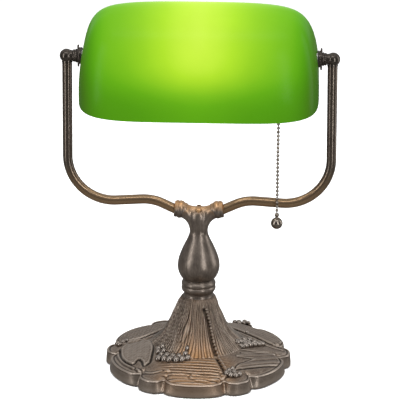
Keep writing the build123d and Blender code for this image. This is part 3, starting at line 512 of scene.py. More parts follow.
def leaf(x, y, spine, half_width, lift, veins, vein_depth):
    """Raised leaf blade about a spine: lifted, with a midrib, slanting veins and a rolled edge."""
    distance, where = along_line(x, y, smooth_line(spine, 5))
    width = half_width * np.sin(pi * np.clip(where, 0.02, 0.98))**0.7 + 0.6
    across = distance / width
    inside = 1 - smoothstep(0.93, 1.05, across)
    body = lift * (0.75 + 0.25 * np.sqrt(np.clip(1 - across**2, 0, 1)))
    edge = 0.35 * np.exp(-((across - 0.9) / 0.07)**2)
    midrib = 0.45 * np.exp(-(distance / 0.7)**2)
    vein_phase = where * veins - across * 0.8
    vein = -vein_depth * np.exp(-(((vein_phase % 1.0) - 0.5) / 0.16)**2) * smoothstep(0.06, 0.2, across)
    gap = -0.7 * np.exp(-((across - 1.12) / 0.1)**2)
    return inside * (body + edge + midrib + vein) + gap * (where > 0.02) * (where < 0.98)


def inside_outline(x, y, outline):
    """Distance to a closed outline, positive inside it."""
    loop = smooth_line([*outline, outline[0]], 5)
    distance, _ = along_line(x, y, loop)
    inside = np.zeros(x.shape, bool)
    for (x1, y1), (x2, y2) in zip(loop[:-1], loop[1:]):
        if y1 != y2:
            inside ^= ((y1 > y) != (y2 > y)) & (x < (x2 - x1) * (y - y1) / (y2 - y1) + x1)
    return np.where(inside, distance, -distance)


PATCH_RIM = 0.12                     # raised edge of a leaf or pad
PATCH_GUTTER = 0.55                  # groove outside it


def patch(x, y, outline, lift, texture=0.0):
    """Raised area with a crisp edge, a dark gutter round it and its own surface texture."""
    inner = inside_outline(x, y, outline)
    cover = smoothstep(-0.25, 0.9, inner)
    edge = PATCH_RIM * np.exp(-((inner - 1.3) / 0.8)**2)
    gutter = -PATCH_GUTTER * np.exp(-(inner + 0.9)**2)
    return cover * (lift + texture) + edge + gutter, cover


BERRIES = (
    # x, y and size of each berry, in clusters going round from the front left
    (-36.5, -43, 2.7), (-31, -45.5, 2.9), (-25, -47.5, 3.0), (-19, -48.5, 3.0), (-13, -48, 2.9), (-7.8, -46, 2.6),
    (-34, -37.5, 2.6), (-28.5, -40, 2.7), (-22.5, -42.5, 2.7), (-16.5, -43, 2.6), (-10.5, -41.5, 2.5),
    (-37.5, -31, 2.4), (-32, -31.5, 2.4), (-38, -25, 2.2), (-33.5, -25.5, 2.2), (-9, -37, 2.1),
    (39, -12, 2.3), (43.5, -14, 2.4), (42, -7, 2.4), (47, -10, 2.6), (51.5, -6, 2.5), (50, -1, 2.4), (55.5, -2, 2.5),
    (60, 1.5, 2.5), (56, 4, 2.3), (64, 5, 2.2), (46, -3, 2.3), (45.5, 4, 2.1), (51, 8, 2.1),
    (30.5, -66, 2.3), (34.5, -68.5, 2.4), (39, -68, 2.4), (43, -65, 2.2), (33, -62, 2.2), (37.5, -63, 2.3),
    (36, -58, 2.0),
    (34, 74, 2.4), (38.5, 71, 2.2), (38, 79, 2.4), (43, 75, 2.4), (44, 81, 2.2), (48, 77, 2.1),
    (-76, 9, 2.2), (-79.5, 4, 2.0), (-82, 10, 2.0), (-73, 12, 1.9),
    (-20, 55, 2.3), (-25, 58, 2.3), (-21, 62, 2.3), (-27, 64, 2.2),
    (82, 24, 1.8), (48, 30, 1.8),
)
LILY_PAD = ((-77, -9), (-71, 4), (-61, 6), (-51, 0), (-45, -9), (-43.5, -22), (-44, -36), (-45, -47), (-50, -52),
            (-52.5, -44), (-57, -39), (-61, -46), (-68, -41), (-74, -29))
LEFT_LEAF = ((-84, 14), (-70, 10), (-56, 13), (-44, 22), (-36, 34), (-33, 50), (-42, 60), (-56, 62), (-70, 52),
             (-82, 34))
RIGHT_LEAF = ((24, 46), (40, 33), (58, 21), (78, 9), (85, 16), (83, 32), (72, 46), (54, 58), (36, 66), (25, 62))
FRONT_RIGHT_BLADE = ((38, -58), (50, -52), (64, -44), (80, -34), (82, -24), (74, -18), (62, -26), (52, -38),
                     (42, -48))
FRONT_WEDGE = ((-2, -70), (10, -73), (22, -71), (31, -66), (30, -72), (20, -79), (6, -81), (-4, -77))


def dish_relief(x, y):
    """Height of the ornament over the sloping top of the base, in millimetres."""
    h = 0.10 * wave_noise(x, y, 4.5, 1) + 0.07 * wave_noise(x, y, 1.9, 2)
    # water lines in front
    front = np.exp(-((x + 1) / 30)**6) * smoothstep(-42, -48, y)
    sway = y + 1.5 * wave_noise(x * 0.45, y, 26, 3) + 0.06 * x
    lines = np.sin(sway * 2 * pi / 4.3) + 0.5 * np.sin(sway * 2 * pi / 2.3 + 1.5 * wave_noise(x, y, 30, 9))
    h += front * 0.42 * lines
    h += 0.8 * patch(x, y, FRONT_WEDGE, 0.5)[0]
    # leaves, pads and blades, going round from the left
    slant = (x * 0.55 + y * 0.84) * 2 * pi
    along = (x * -0.52 + y * 0.85) * 2 * pi
    for outline, lift, texture in (
        (LILY_PAD, 1.4, 0.25 * wave_noise(x, y, 5.0, 5) + 0.12 * wave_noise(x, y, 1.6, 6)),
        (LEFT_LEAF, 1.5, 0.55 * wave_noise(x, y, 2.3, 12) + 0.45 * wave_noise(x, y, 4.3, 13)),
        (RIGHT_LEAF, 1.2, 0.5 * np.abs(np.sin(slant / 11.0)) + 0.16 * np.sin(slant / 2.9)),
        (FRONT_RIGHT_BLADE, 0.9, 0.3 * np.sin(along / 7.5) + 0.12 * np.sin(along / 3.2)),
    ):
        raised, cover = patch(x, y, outline, lift, texture)
        h = h * (1 - cover) + raised
    for spine, half_width, lift, veins, depth in (
        ([(40, -34), (60, -25), (86, -8)], 5.0, 0.8, 4, 0.10),
        ([(-6, 47), (-14, 66), (-8, 85)], 9.5, 1.1, 10, 0.2),
        ([(8, 48), (16, 64), (14, 82)], 8.5, 1.0, 9, 0.2),
    ):
        blade = leaf(x, y, spine, half_width, lift, veins, depth)
        h = np.where(blade > 0.3, blade, h)
    # long thin ridges
    for line, width, rise in (
        ([(-84, 10), (-68, 3.5), (-55, 7), (-43, 15), (-33, 26)], 1.7, 1.5),
        ([(38, -20), (56, -16), (74, -8), (90, -3)], 0.8, 0.8),
        ([(44, -26), (60, -19), (76, -12)], 0.7, 0.7),
        ([(46, 12), (60, 9), (72, 4), (84, 3)], 0.9, 0.9),
        ([(30, 33), (46, 22), (64, 12)], 0.9, 0.8),
        ([(-80, -12), (-77, -26), (-70, -42), (-60, -54)], 0.9, 0.7),
        ([(-57, -56), (-50, -63), (-42, -66), (-32, -64)], 0.9, 0.8),
    ):
        off, _ = along_line(x, y, smooth_line(line, 5))
        h += 0.75 * rise * np.exp(-(off / width)**2)
        h -= 0.35 * np.exp(-((off - width * 2.2) / width)**2)
    # stem that runs out to the narrow lobe at the front right
    stem, where = along_line(x, y, smooth_line([(20.5, -40), (25, -48), (29, -57), (33, -64)], 4))
    h += 1.3 * np.exp(-(stem / 1.2)**2) * (1 - 0.5 * where)
    gully, _ = along_line(x, y, smooth_line([(18, -40), (22, -48), (25.6, -57), (29, -65)], 4))
    h -= 1.9 * np.exp(-(gully / 1.5)**2)
    # small wavelets and pebbles in front of the left berries
    for px, py, size, rise in (
        (-26, -64, 1.9, 1.3), (-20, -72, 1.8, 1.2), (-12, -70, 2.4, 0.5), (-34, -59, 2.2, 0.6), (14, -66, 2.6, 0.4),
    ):
        h += rise * np.exp(-((x - px) / (size * 1.7))**2 - ((y - py) / size)**2)
    # beds that the berries sit in
    for px, py, size in BERRIES:
        h -= 0.9 * np.exp(-((x - px)**2 + (y - py)**2) / (size * 1.35)**2)
    return h * smoothstep(SKIRT_RADIUS - 0.5, SKIRT_RADIUS + 4, np.hypot(x, y))


def slope_height(r, edge):
    """Plain top of the base at a radius, for an outline radius there."""
    inner = 23.4 - (r - SKIRT_RADIUS) * 0.245
    blend_in = smoothstep(edge - 9, edge - 2.2, r)
    return inner * (1 - blend_in) + RIM_TOP * blend_in


def shade_relief(obj, height, painted_gold_highlight, rows, columns, dark=0.0):
    """Point attributes for the patina and painted light: wear and painted highlights on raised edges, patina and
    painted shade in recesses, a painted warm highlight in places; dark adds painted shade where positive and painted
    light where negative.
    """
    h = height.reshape(rows, columns)
    blurred = h.copy()
    for _ in range(7):
        blurred = (blurred + np.roll(blurred, 1, 1) + np.roll(blurred, -1, 1)
                   + np.vstack([blurred[:1], blurred[:-1]]) + np.vstack([blurred[1:], blurred[-1:]])) / 5
    relief = h - blurred
    values = {
        "wear_and_painted_light": np.clip(relief * 2.3 - np.minimum(dark, 0), 0, 0.6),
        "patina_and_painted_shade": np.clip(-relief * 3.4 + np.clip(-h, 0, 1) * 0.35 + np.maximum(dark, 0), 0, 0.92),
        "painted_gold_highlight": painted_gold_highlight.reshape(rows, columns),
    }
    for name, value in values.items():
        point_values(obj, name, value.ravel())


RIM_WALL = (
    # height, share of the way from the top outline to the foot outline, step outwards, painted light and shade
    # (lighter where higher)
    (10.9, 0.05, 0.0, 0.0), (9.4, 0.2, 0.0, -0.05), (7.4, 0.45, 0.0, -0.05), (5.2, 0.72, 0.0, 0.0),
    (3.4, 0.9, 0.0, 0.05), (2.0, 1.0, 0.0, 0.1), (1.1, 1.0, -0.2, 0.0), (RIM_BOTTOM, 1.0, -1.0, -0.3),
)
RIM_INSET, RIM_ROUND = 1.4, 1.2      # where the rounded top edge starts, and its radius
DISH_START = SKIRT_RADIUS - 1.5      # the dish begins a little under the cone
RECESS_CEILING, RECESS_INNER = 4.2, 60.0
PAINTED_LIGHT_WALL_ROWS = 11                   # rows of the rim, from its top edge, that get painted light


def base_dish():
    """Lobed dish of the base with its relief, its wall and the recess underneath."""
    columns = 1000
    angle = np.arange(columns) * 2 * pi / columns - pi / 2
    foot = edge_radius(angle, NOTCH_RADIUS + 0.5)
    edge = edge_radius(angle, NOTCH_RADIUS - 3.5) - 0.5
    rows = []
    steps = 84
    for i in range(steps):
        share = (i / (steps - 1))**0.92
        r = DISH_START + (edge - RIM_INSET - DISH_START) * share
        x, y = r * np.cos(angle), r * np.sin(angle)
        fade = 1 - smoothstep(edge - 3.6, edge - 2.2, r)
        h = dish_relief(x, y) * fade
        bead = 0.55 * np.exp(-((r - edge + 1.6) / 0.8)**2) - 0.5 * np.exp(-((r - edge + 3.4) / 0.8)**2)
        rows.append((r, slope_height(r, edge) + h + bead, h + 1.2 * bead))
    level = np.zeros(columns)
    # rounded top edge of the rim; its third values paint a highlight along it
    for turn in (25, 50, 75, 90):
        drop = cos(radians(turn))
        r = edge - RIM_INSET + RIM_ROUND * sin(radians(turn))
        rows.append((r, level + RIM_TOP - RIM_ROUND + RIM_ROUND * drop, level + 0.9 * drop))
    for z, share, out, shade in RIM_WALL:
        rows.append(((edge - 0.2) * (1 - share) + foot * share + out, level + z, level + shade))
    # recess underneath, painted darker as shade
    for r, z in ((RECESS_RADIUS, RIM_BOTTOM), (RECESS_RADIUS, RECESS_CEILING), (RECESS_INNER, RECESS_CEILING)):
        rows.append((level + r, level + z, level - 0.5))
    verts, heights, painted_gold_highlight, pale = [], [], [], []
    for r, z, shade in rows:
        x, y = r * np.cos(angle), r * np.sin(angle)
        verts.append(np.column_stack([x, y, z]))
        heights.append(shade)
        # painted warm highlight over the front of the dish
        warm = np.exp(-((x - 1) / 34)**4 - ((y + 68) / 27)**4)
        painted_gold_highlight.append(0.12 + 0.7 * warm)
        # painted highlight: the lily pad is made lighter
        pale.append(-0.24 * smoothstep(0.5, 5.0, inside_outline(x, y, LILY_PAD)))
    obj = mesh_object("base_dish", np.vstack(verts), grid_faces(len(rows), columns))
    dark = np.array(pale)
    # painted light: the rounded top edge and the upper wall of the rim are made brighter
    dark[steps:steps + PAINTED_LIGHT_WALL_ROWS] = -np.linspace(0.6, 0.3, PAINTED_LIGHT_WALL_ROWS)[:, None]
    shade_relief(obj, np.array(heights), np.array(painted_gold_highlight), len(rows), columns, dark)
    return obj


CONE_LINE = ((14.6, 72.6), (15.6, 72.5), (16.7, 71.8), (17.3, 70.6), (19.0, 66.4), (21.4, 59.6), (24.3, 53.2),
             (26.9, 46.8), (30.2, 40.4), (34.4, 34.0), (38.8, 29.0), (43.0, 25.4), (46.2, 22.9), (47.6, 21.0))


def cone_relief(r, z, angle):
    """Bark-like flutes, a drop-shaped stalk and a beaded stem on the cone, as a height off its surface."""
    degrees = (np.degrees(angle) + 180) % 360 - 180
    wobble = (1.3 * np.sin(angle * 3 + z * 0.05) + 0.9 * np.sin(angle * 7 + z * 0.11)
              + 0.5 * np.sin(angle * 17 + z * 0.2))
    phase = (degrees + wobble) / 4.2
    strength = 0.65 + 0.35 * np.sin(np.floor(phase) * 2.4)
    flute = np.abs(np.sin(phase * pi))**0.7 * strength
    bark = np.abs(np.sin((phase * 1.31 + 0.3 + 0.22 * np.sin(z * 0.17 + phase)) * pi))**0.8
    front = np.exp(-((degrees + 88) / 25)**8)
    depth = smoothstep(74, 64, z) + 0.3
    h = depth * (front * flute + (1 - front) * (0.5 * flute + 0.55 * bark)) - 0.55
    rough = np.exp(-((degrees + 158) / 40)**4)
    h += 0.35 * rough * wave_noise(angle * r, z + 0 * angle, 4.0, 21)
    h *= smoothstep(73.5, 71.5, z)
    # the left side swells a little with the leaf that climbs it
    for left in (-180, 180):
        h += np.exp(-((degrees - left) / 45)**2) * smoothstep(72, 60, z) * smoothstep(30, 42, z)
    h -= 1.1 * np.exp(-(degrees / 50)**2) * smoothstep(72, 62, z) * smoothstep(28, 40, z)
    # smooth stalk on the left that swells into a drop
    stalk_angle = -108.0 - 6.0 * smoothstep(60, 30, z)
    off = (degrees - stalk_angle) * pi / 180 * r
    drop = np.exp(-((z - 44) / 7.5)**2)
    width = 0.9 + 1.7 * drop
    stalk = np.exp(-(off / width)**4) * smoothstep(30, 36, z)
    h = h * (1 - stalk) + stalk * (0.9 + 1.2 * drop)
    h -= 0.9 * np.exp(-((off + width + 1.0) / 0.9)**2) * smoothstep(72, 62, z) * smoothstep(26, 36, z)
    # beaded stem on the right in its dark gully
    stem_angle = -63.5 - 4.5 * smoothstep(48, 66, z)
    off = (degrees - stem_angle) * pi / 180 * r
    present = smoothstep(66, 63.5, z)
    gully = np.exp(-((off + 0.7) / 1.6)**2) * present
    h = h * (1 - gully) - 1.9 * gully
    beads = 0.5 + 0.5 * np.cos(z * 2 * pi / 2.9 + 0.6 * np.sin(z))
    h += np.exp(-((off - 1.3) / 0.8)**2) * present * (0.6 + 1.2 * beads)
    return h


def base_cone():
    """Fluted cone between the dish and the column."""
    columns = 1080
    angle = np.arange(columns) * 2 * pi / columns - pi / 2
    line = smooth_line(CONE_LINE, 7)
    tangent = np.gradient(line, axis=0)
    tangent /= np.linalg.norm(tangent, axis=1)[:, None]
    verts, heights, painted_gold_highlight = [], [], []
    for (r, z), (dr, dz) in zip(line, tangent):
        h = cone_relief(r, z, angle)
        if z < 23.2:
            h = np.minimum(h, 0.0)
        out_r, out_z = -dz, dr
        radius = r + h * out_r
        verts.append(np.column_stack([radius * np.cos(angle), radius * np.sin(angle), z + h * out_z]))
        heights.append(h)
        x, y = r * np.cos(angle), r * np.sin(angle)
        # painted warm highlight on the front of the cone, a little over its whole front half
        warm = np.exp(-((x - 2) / 24)**4 - ((y + 50) / 16)**2) * 0.95 + 0.15 * (y < 0)
        painted_gold_highlight.append(np.clip(warm, 0, 1))
    obj = mesh_object("base_cone", np.vstack(verts), grid_faces(len(line), columns))
    degrees = (np.degrees(angle) + 180) % 360 - 180
    # painted shade on the cone's left and right flanks
    side = 0.45 * np.exp(-((degrees + 152) / 36)**4) + 0.22 * np.exp(-((degrees + 28) / 30)**4)
    shade_relief(obj, np.array(heights), np.array(painted_gold_highlight), len(line), columns, side)
    return obj


def berry(centre, size, lean, turn):
    """Teardrop berry lying on the base."""
    work = bmesh.new()
    bmesh.ops.create_uvsphere(work, u_segments=20, v_segments=14, radius=1.0)
    for v in work.verts:
        taper = 1.0 - 0.28 * max(v.co.z, 0)
        v.co = Vector((v.co.x * size * taper, v.co.y * size * taper, v.co.z * size * 1.35))
    work.transform(Matrix.Rotation(lean, 4, "X"))
    work.transform(Matrix.Rotation(turn, 4, "Z"))
    work.transform(Matrix.Translation(Vector(centre)))
    work.transform(Matrix.Scale(MM, 4))
    mesh = bpy.data.meshes.new("berry")
    work.to_mesh(mesh)
    work.free()
    mesh.shade_smooth()
    return linked("berry", mesh)


def ground(x, y):
    """Height of the plain base under a point."""
    r = sqrt(x * x + y * y)
    if r < SKIRT_RADIUS:
        line = smooth_line(CONE_LINE, 7)
        return float(np.interp(r, line[:, 0], line[:, 1]))
    edge = edge_radius(np.array([atan2(y, x)]))[0]
    return float(slope_height(np.array([r]), np.array([edge]))[0])


def base_berries():
    """All berries of the base as one piece."""
    berries = []
    for index, (x, y, size) in enumerate(BERRIES):
        away = atan2(y, x)
        turn = away - pi / 2 + 0.4 * sin(index * 2.3)
        berries.append(berry((x, y, ground(x, y) + size * 0.4), size * 1.10, radians(58), turn))
    obj = joined("base_berries", berries)
    # berries made a little lighter all over
    point_values(obj, "wear_and_painted_light", np.full(len(obj.data.vertices), 0.15))
    return obj


for piece, finish in ((base_dish(), BRONZE_CAST), (base_cone(), BRONZE_CAST), (base_berries(), BRONZE_BERRY)):
    place(piece, "stand", finish, "bronze_casting", "base_casting")


# --- column and yoke
FORK_Z = 150.1
ARM_CORNERS = ((45.0, 170.9), (128.0, 165.6))
ARM_BENDS = (42.0, 44.0)
BRANCH_ANGLE = atan2(ARM_CORNERS[0][1] - FORK_Z, ARM_CORNERS[0][0])

collar_line = smooth_line(
    [(5.2, COLLAR_BOTTOM), (14.4, COLLAR_BOTTOM), (14.8, 72.8), (14.6, 74.0), (14.5, 75.4), (14.9, 76.6),
     (15.8, 77.6), (16.5, 78.9), (16.9, 80.4), (16.8, 81.9), (16.2, 82.9), (16.1, 83.4), (16.7, 84.2), (16.9, 85.4),
     (16.6, 86.8), (15.7, 88.0), (15.1, 88.8), (14.9, COLLAR_TOP), (5.2, COLLAR_TOP)], 4)
collar_line[:, 1] = np.clip(collar_line[:, 1], COLLAR_BOTTOM, COLLAR_TOP)
place(turned("column_collar_turned", collar_line, segments=120, closed=True), "stand",
      BRONZE_COLUMN, "bronze_casting", "column_collar")


def voxel_merged(name, objects, voxel, smoothing):
    """One skin round several overlapping solids, softened where they meet."""
    obj = joined(name, objects)
    remesh = obj.modifiers.new("skin", "REMESH")
    remesh.mode = "VOXEL"
    remesh.voxel_size = voxel * MM
    smooth = obj.modifiers.new("soften", "SMOOTH")
    smooth.factor = 0.5
    smooth.iterations = smoothing
    return applied(obj)


# distance from the middle and height along the top and the underside of the fork
YOKE_TOP = ((0, 163.9), (5, 164.2), (10, 165.3), (14, 167.0), (18, 168.6), (23.5, 169.4))
YOKE_UNDER = ((0, 128.0), (6.5, 130.0), (8.4, 137.5), (9.2, 142.5), (10.6, 146.2), (13, 149.5), (16, 151.7),
              (20, 153.0), (23.5, 154.0))


def yoke_casting():
    """Vase-shaped column that flares into two short branches."""
    vase = smooth_line(
        [(0.01, COLLAR_TOP), (15.0, COLLAR_TOP), (16.4, 91.2), (18.6, 94.4), (20.2, 98.8), (20.8, 103.3),
         (20.4, 108.0), (19.1, 113.2), (17.1, 118.6), (14.7, 124.2), (12.2, 129.2), (10.0, 134.2), (8.8, 138.8),
         (8.7, 143.0), (9.2, 147.6), (9.6, 152.0), (9.0, 156.6), (6.6, 160.6), (0.01, 162.2)], 5)
    pieces = [turned("vase", vase, segments=96)]
    top = smooth_line(YOKE_TOP, 8)
    under = smooth_line(YOKE_UNDER, 8)
    xs = np.linspace(-23.4, 23.4, 95)
    columns = 48
    around = np.arange(columns) * 2 * pi / columns
    rings = []
    for x in xs:
        high = np.interp(abs(x), top[:, 0], top[:, 1])
        low = np.interp(abs(x), under[:, 0], under[:, 1])
        half = (high - low) / 2
        depth = min(half, 7.6 + 1.1 * exp(-(x / 9)**2))
        rings.append(np.column_stack([
            np.full(columns, x), depth * np.cos(around), (high + low) / 2 + half * np.sin(around)]))
    faces = grid_faces(len(xs), columns) + end_caps(len(xs), columns)
    branches = mesh_object("branches", np.vstack(rings), faces)
    clean(branches)
    pieces.append(branches)
    obj = voxel_merged("yoke_casting", pieces, 0.6, 36)
    co = coordinates_of(obj)
    # painted warm highlight on the top of the fork, strongest at the front
    painted_gold_highlight = np.exp(-(np.clip(167 - co[:, 2], 0, 99) / 6.0)**2) * np.clip(0.8 - co[:, 1] / 30, 0.2, 1)
    point_values(obj, "painted_gold_highlight", np.clip(painted_gold_highlight, 0, 0.95))
    return obj


def fork_shell():
    """Small scallop of five ribs at the saddle of the fork, front and back."""
    ribs = []
    for front in (-1, 1):
        for rib in range(5):
            spread = radians((rib - 2) * 24)
            foot = Vector((0, front * 7.2, 159.6))
            tip = Vector((sin(spread) * 4.2, front * (3.6 + 0.5 * abs(rib - 2)), 158.2 + cos(spread) * 6.0))
            path = smooth_line([foot, (foot + tip) / 2 + Vector((0, front * 1.5, 0.6)), tip], 6)
            ribs.append(swept("rib", path, 0.6, 12))
    return voxel_merged("fork_shell", ribs, 0.3, 3)


place(yoke_casting(), "stand", BRONZE_COLUMN, "bronze_casting", "yoke_column")
shell = fork_shell()
# painted warm highlight over the whole scallop
point_values(shell, "painted_gold_highlight", np.full(len(shell.data.vertices), 0.9))
place(shell, "stand", BRONZE_COLUMN, "bronze_casting")

COLLAR_TILT = radians(11)
FORK_MOUTH_X, FORK_MOUTH_Z = 22.9, 161.6
for name, side in SIDES:
    collar = smooth_line(
        [(4.9, -11.0), (6.8, -11.0), (7.4, -8.6), (7.9, -7.4), (8.5, -6.6), (8.75, -5.0), (8.6, -3.4), (8.15, -2.9),
         (8.15, -2.3), (8.45, -1.9), (8.5, -1.2), (8.2, -0.7), (8.35, -0.3), (8.0, 0.2), (6.0, 0.3), (4.9, 0.0)], 4)
    mouth = (side * FORK_MOUTH_X, 0, FORK_MOUTH_Z)
    piece = turned(f"fork_collar_{name}", collar, mouth, (side * cos(COLLAR_TILT), 0, sin(COLLAR_TILT)), 96, True)
    # painted warm highlight on the upper parts of the collars
    point_values(piece, "painted_gold_highlight", np.clip((coordinates_of(piece)[:, 2] - 161) / 9, 0, 0.75))
    place(piece, "stand", BRONZE_COLUMN, "bronze_casting")


# --- arms and pivots
def rounded_path(points, radii, step=2.0):
    """Points along straight runs joined by tangent arcs, in the plane of the arms."""
    corners = [np.array(p, float) for p in points]
    result = [corners[0]]
    for before, corner, after, radius in zip(corners, corners[1:], corners[2:], radii):
        into = (corner - before) / np.linalg.norm(corner - before)
        out = (after - corner) / np.linalg.norm(after - corner)
        turn = acos(np.clip(into.dot(out), -1, 1))
        reach = radius * tan(turn / 2)
        first, last = corner - into * reach, corner + out * reach
        centre = corner + (out - into) / np.linalg.norm(out - into) * radius / cos(turn / 2)
        straight = np.linalg.norm(first - result[-1])
        for k in range(1, max(2, int(straight / step))):
            result.append(result[-1] + (first - result[-1]) / (max(2, int(straight / step)) - k + 1))
        count = max(6, int(radius * turn / step))
        for k in range(count + 1):
            share = k / count
            spoke = (first - centre) * sin((1 - share) * turn) + (last - centre) * sin(share * turn)
            result.append(centre + spoke / sin(turn))
    final = corners[-1]
    start = result[-1]
    count = max(2, int(np.linalg.norm(final - start) / step))
    for k in range(1, count + 1):
        result.append(start + (final - start) * k / count)
    return result


ARM_TOP_Z = 306.4
UPRIGHT_LEAN = (ARM_CORNERS[1][0] - BALL_X + 0.6) / (PIVOT_Z - ARM_CORNERS[1][1])
ARM_TOP_X = ARM_CORNERS[1][0] - UPRIGHT_LEAN * (ARM_TOP_Z - ARM_CORNERS[1][1])
ARM_FOOT_REACH = 17.3                # from the middle of the fork to the tube's lower end
ARM_FOOT = (ARM_FOOT_REACH * cos(BRANCH_ANGLE), FORK_Z + ARM_FOOT_REACH * sin(BRANCH_ANGLE))
BALL_RADIUS = 6.5
EAR_X = 115.35                       # middle of a lock nut's two ears
EAR_THICKNESS = 0.72                 # share of their width

for name, side in SIDES:
    path = rounded_path([ARM_FOOT, *ARM_CORNERS, (ARM_TOP_X, ARM_TOP_Z)], ARM_BENDS)
    tube = swept(f"arm_tube_{name}", [(side * p[0], 0, p[1]) for p in path], ARM_RADIUS, 48)
    # painted warm highlight on the low, upward-facing runs of the arms
    point_values(tube, "painted_gold_highlight", np.clip((205 - coordinates_of(tube)[:, 2]) / 40, 0, 1) * 0.55)
    place(tube, "stand", BRONZE_TUBE, "bronze_tube", f"arm_{name}")

    outward = (side, 0, 0)
    ball = smooth_line(
        [(3.9, 120.6), (5.0, 120.6), (5.3, 121.2)], 3).tolist() + [
        (BALL_RADIUS * sin(radians(t)), BALL_X - BALL_RADIUS * cos(radians(t))) for t in range(56, 181, 4)]
    ball = turned(f"arm_ball_{name}", ball, AXIS_POINT, outward, 64)
    neck = turned(
        "neck", smooth_line([(0.01, -1.2), (4.75, -1.2), (5.05, -0.2), (4.9, 0.8), (4.4, 2.2), (0.01, 2.4)], 4),
        (side * ARM_TOP_X, 0, ARM_TOP_Z), (-side * UPRIGHT_LEAN, 0, 1), 48)
    place(joined(f"arm_ball_{name}", [ball, neck]), "stand", BRONZE_FITTING, "bronze_tube", f"ball_end_{name}")

    ring = smooth_line([(4.02, 116.4), (6.0, 116.4), (6.55, 117.0), (6.4, 117.8), (5.7, 118.3), (6.0, 118.9),
                        (6.0, 119.7), (5.3, 120.5), (4.02, 120.5)], 4)
    place(turned(f"pivot_ring_{name}", ring, AXIS_POINT, outward, 64, True), "stand",
          BRONZE_FITTING, "bronze_tube", f"spacer_ring_{name}")

    cup = smooth_line([(4.06, 113.15), (7.5, 113.15), (7.95, 113.5), (7.95, 114.3), (7.4, 115.2), (6.8, 116.1),
                       (6.4, 116.3), (4.06, 116.3)], 4)
    cup = turned(f"tilt_nut_{name}", cup, AXIS_POINT, outward, 64, True)
    ears = []
    for up in (-1, 1):
        ear = smooth_line([(0.01, 5.5), (1.3, 5.5), (1.3, 9.2), (1.05, 10.2), (0.5, 10.7), (0.01, 10.75)], 4)
        ears.append(turned("ear", ear, (side * EAR_X, 0, PIVOT_Z), (0, 0, up), 24))
    for ear in ears:
        middle = side * EAR_X * MM
        for v in ear.data.vertices:
            v.co.x = middle + (v.co.x - middle) * EAR_THICKNESS
    place(joined(f"tilt_nut_{name}", [cup, *ears]), f"lock_nut_{name}", BRONZE_FITTING, "bronze_tube",
          f"tilt_lock_nut_{name}")


# --- shade
TILT = radians(20)
RIM_DROP = 31.0                      # rim below the pivot axis, in the shade's own frame
SHADE_HEIGHT = 83.6
SHADE_HALF_DEPTH = 65.0
GLASS = 4.0                          # thickness

# How bright the lit glass is by its place: a level for all of it, a patch along the pivot axis, more above
# the rim and less at the ends. The values were fitted by least squares to the brightness of the reference,
# and aren't worked out from the bulb.
GLOW_LEVEL, GLOW_PATCH, GLOW_ABOVE = 0.365, 0.366, 0.219
GLOW_X, GLOW_X_SPREAD = 1.3, 60.5    # millimetres along the pivot axis
GLOW_RISE, GLOW_RISE_SPREAD = 22.3, 6.2      # degrees up from the rim
GLOW_END, GLOW_END_SPREAD = 103.8, 5.5       # millimetres along the pivot axis


def plan_loop(half_length, half_width, power, columns):
    """Rounded rectangle in plan, its points evenly spaced along the outline."""
    t = np.linspace(0, 2 * pi, 2001)
    x = half_length * np.sign(np.cos(t)) * np.abs(np.cos(t))**(2 / power)
    y = half_width * np.sign(np.sin(t)) * np.abs(np.sin(t))**(2 / power)
    length = np.concatenate([[0], np.cumsum(np.hypot(np.diff(x), np.diff(y)))])
    even = np.arange(columns) * length[-1] / columns
    return np.interp(even, length, x), np.interp(even, length, y)


def shade_wall(half_length, half_depth, height, rows, columns):
    """Domed trough in the shade's own frame: rows from the rim to the crown."""
    wall = []
    for rise in np.linspace(0, pi / 2, rows):
        c = max(cos(rise), 1e-3)
        x, y = plan_loop(half_length * c**0.25, half_depth * c, 5.0 - 1.9 * sin(rise), columns)
        wall.append(np.column_stack([x, y, np.full(columns, height * sin(rise) - RIM_DROP)]))
    return wall


def shade_shell():
    """Green outside and opal inside, joined by a fire-polished rim."""
    rows, columns = 92, 288
    outer = shade_wall(SHADE_END, SHADE_HALF_DEPTH, SHADE_HEIGHT, rows, columns)
    inner = shade_wall(SHADE_END - GLASS, SHADE_HALF_DEPTH - GLASS, SHADE_HEIGHT - GLASS, rows, columns)
    lip = []
    for share in (0.15, 0.35, 0.5, 0.65, 0.85):
        ring = outer[0] * (1 - share) + inner[0] * share
        ring[:, 2] -= 1.3 * sin(pi * share)
        lip.append(ring)
    for wall in (outer, inner):
        for ring in wall:
            ring[:, 2] = np.maximum(ring[:, 2], -RIM_DROP)
    rings = outer[::-1] + lip + inner
    local = np.vstack(rings)
    world = local.copy()
    world[:, 1] = local[:, 1] * cos(TILT) - local[:, 2] * sin(TILT)
    world[:, 2] = local[:, 1] * sin(TILT) + local[:, 2] * cos(TILT) + PIVOT_Z
    first_inner = (rows + len(lip)) * columns
    faces = grid_faces(len(rings), columns) + end_caps(len(rings), columns)
    obj = mesh_object("shade_glass_shell", world, faces)
    for polygon in obj.data.polygons:
        polygon.material_index = 1 if min(polygon.vertices) >= first_inner - 2 * columns else 0
    rise = np.degrees(np.arcsin(np.clip((local[:, 2] + RIM_DROP) / SHADE_HEIGHT, 0, 1)))
    high = 1 / (1 + np.exp((GLOW_RISE - rise) / GLOW_RISE_SPREAD))
    peak = np.exp(-((local[:, 0] - GLOW_X) / GLOW_X_SPREAD)**2)
    ends = 1 / (1 + np.exp((np.abs(local[:, 0]) - GLOW_END) / GLOW_END_SPREAD))
    glow = ends * (GLOW_LEVEL + GLOW_PATCH * peak * (0.35 + 0.65 * high) + GLOW_ABOVE * high)
    point_values(obj, "glow", np.clip(glow, 0, 1))
    return obj


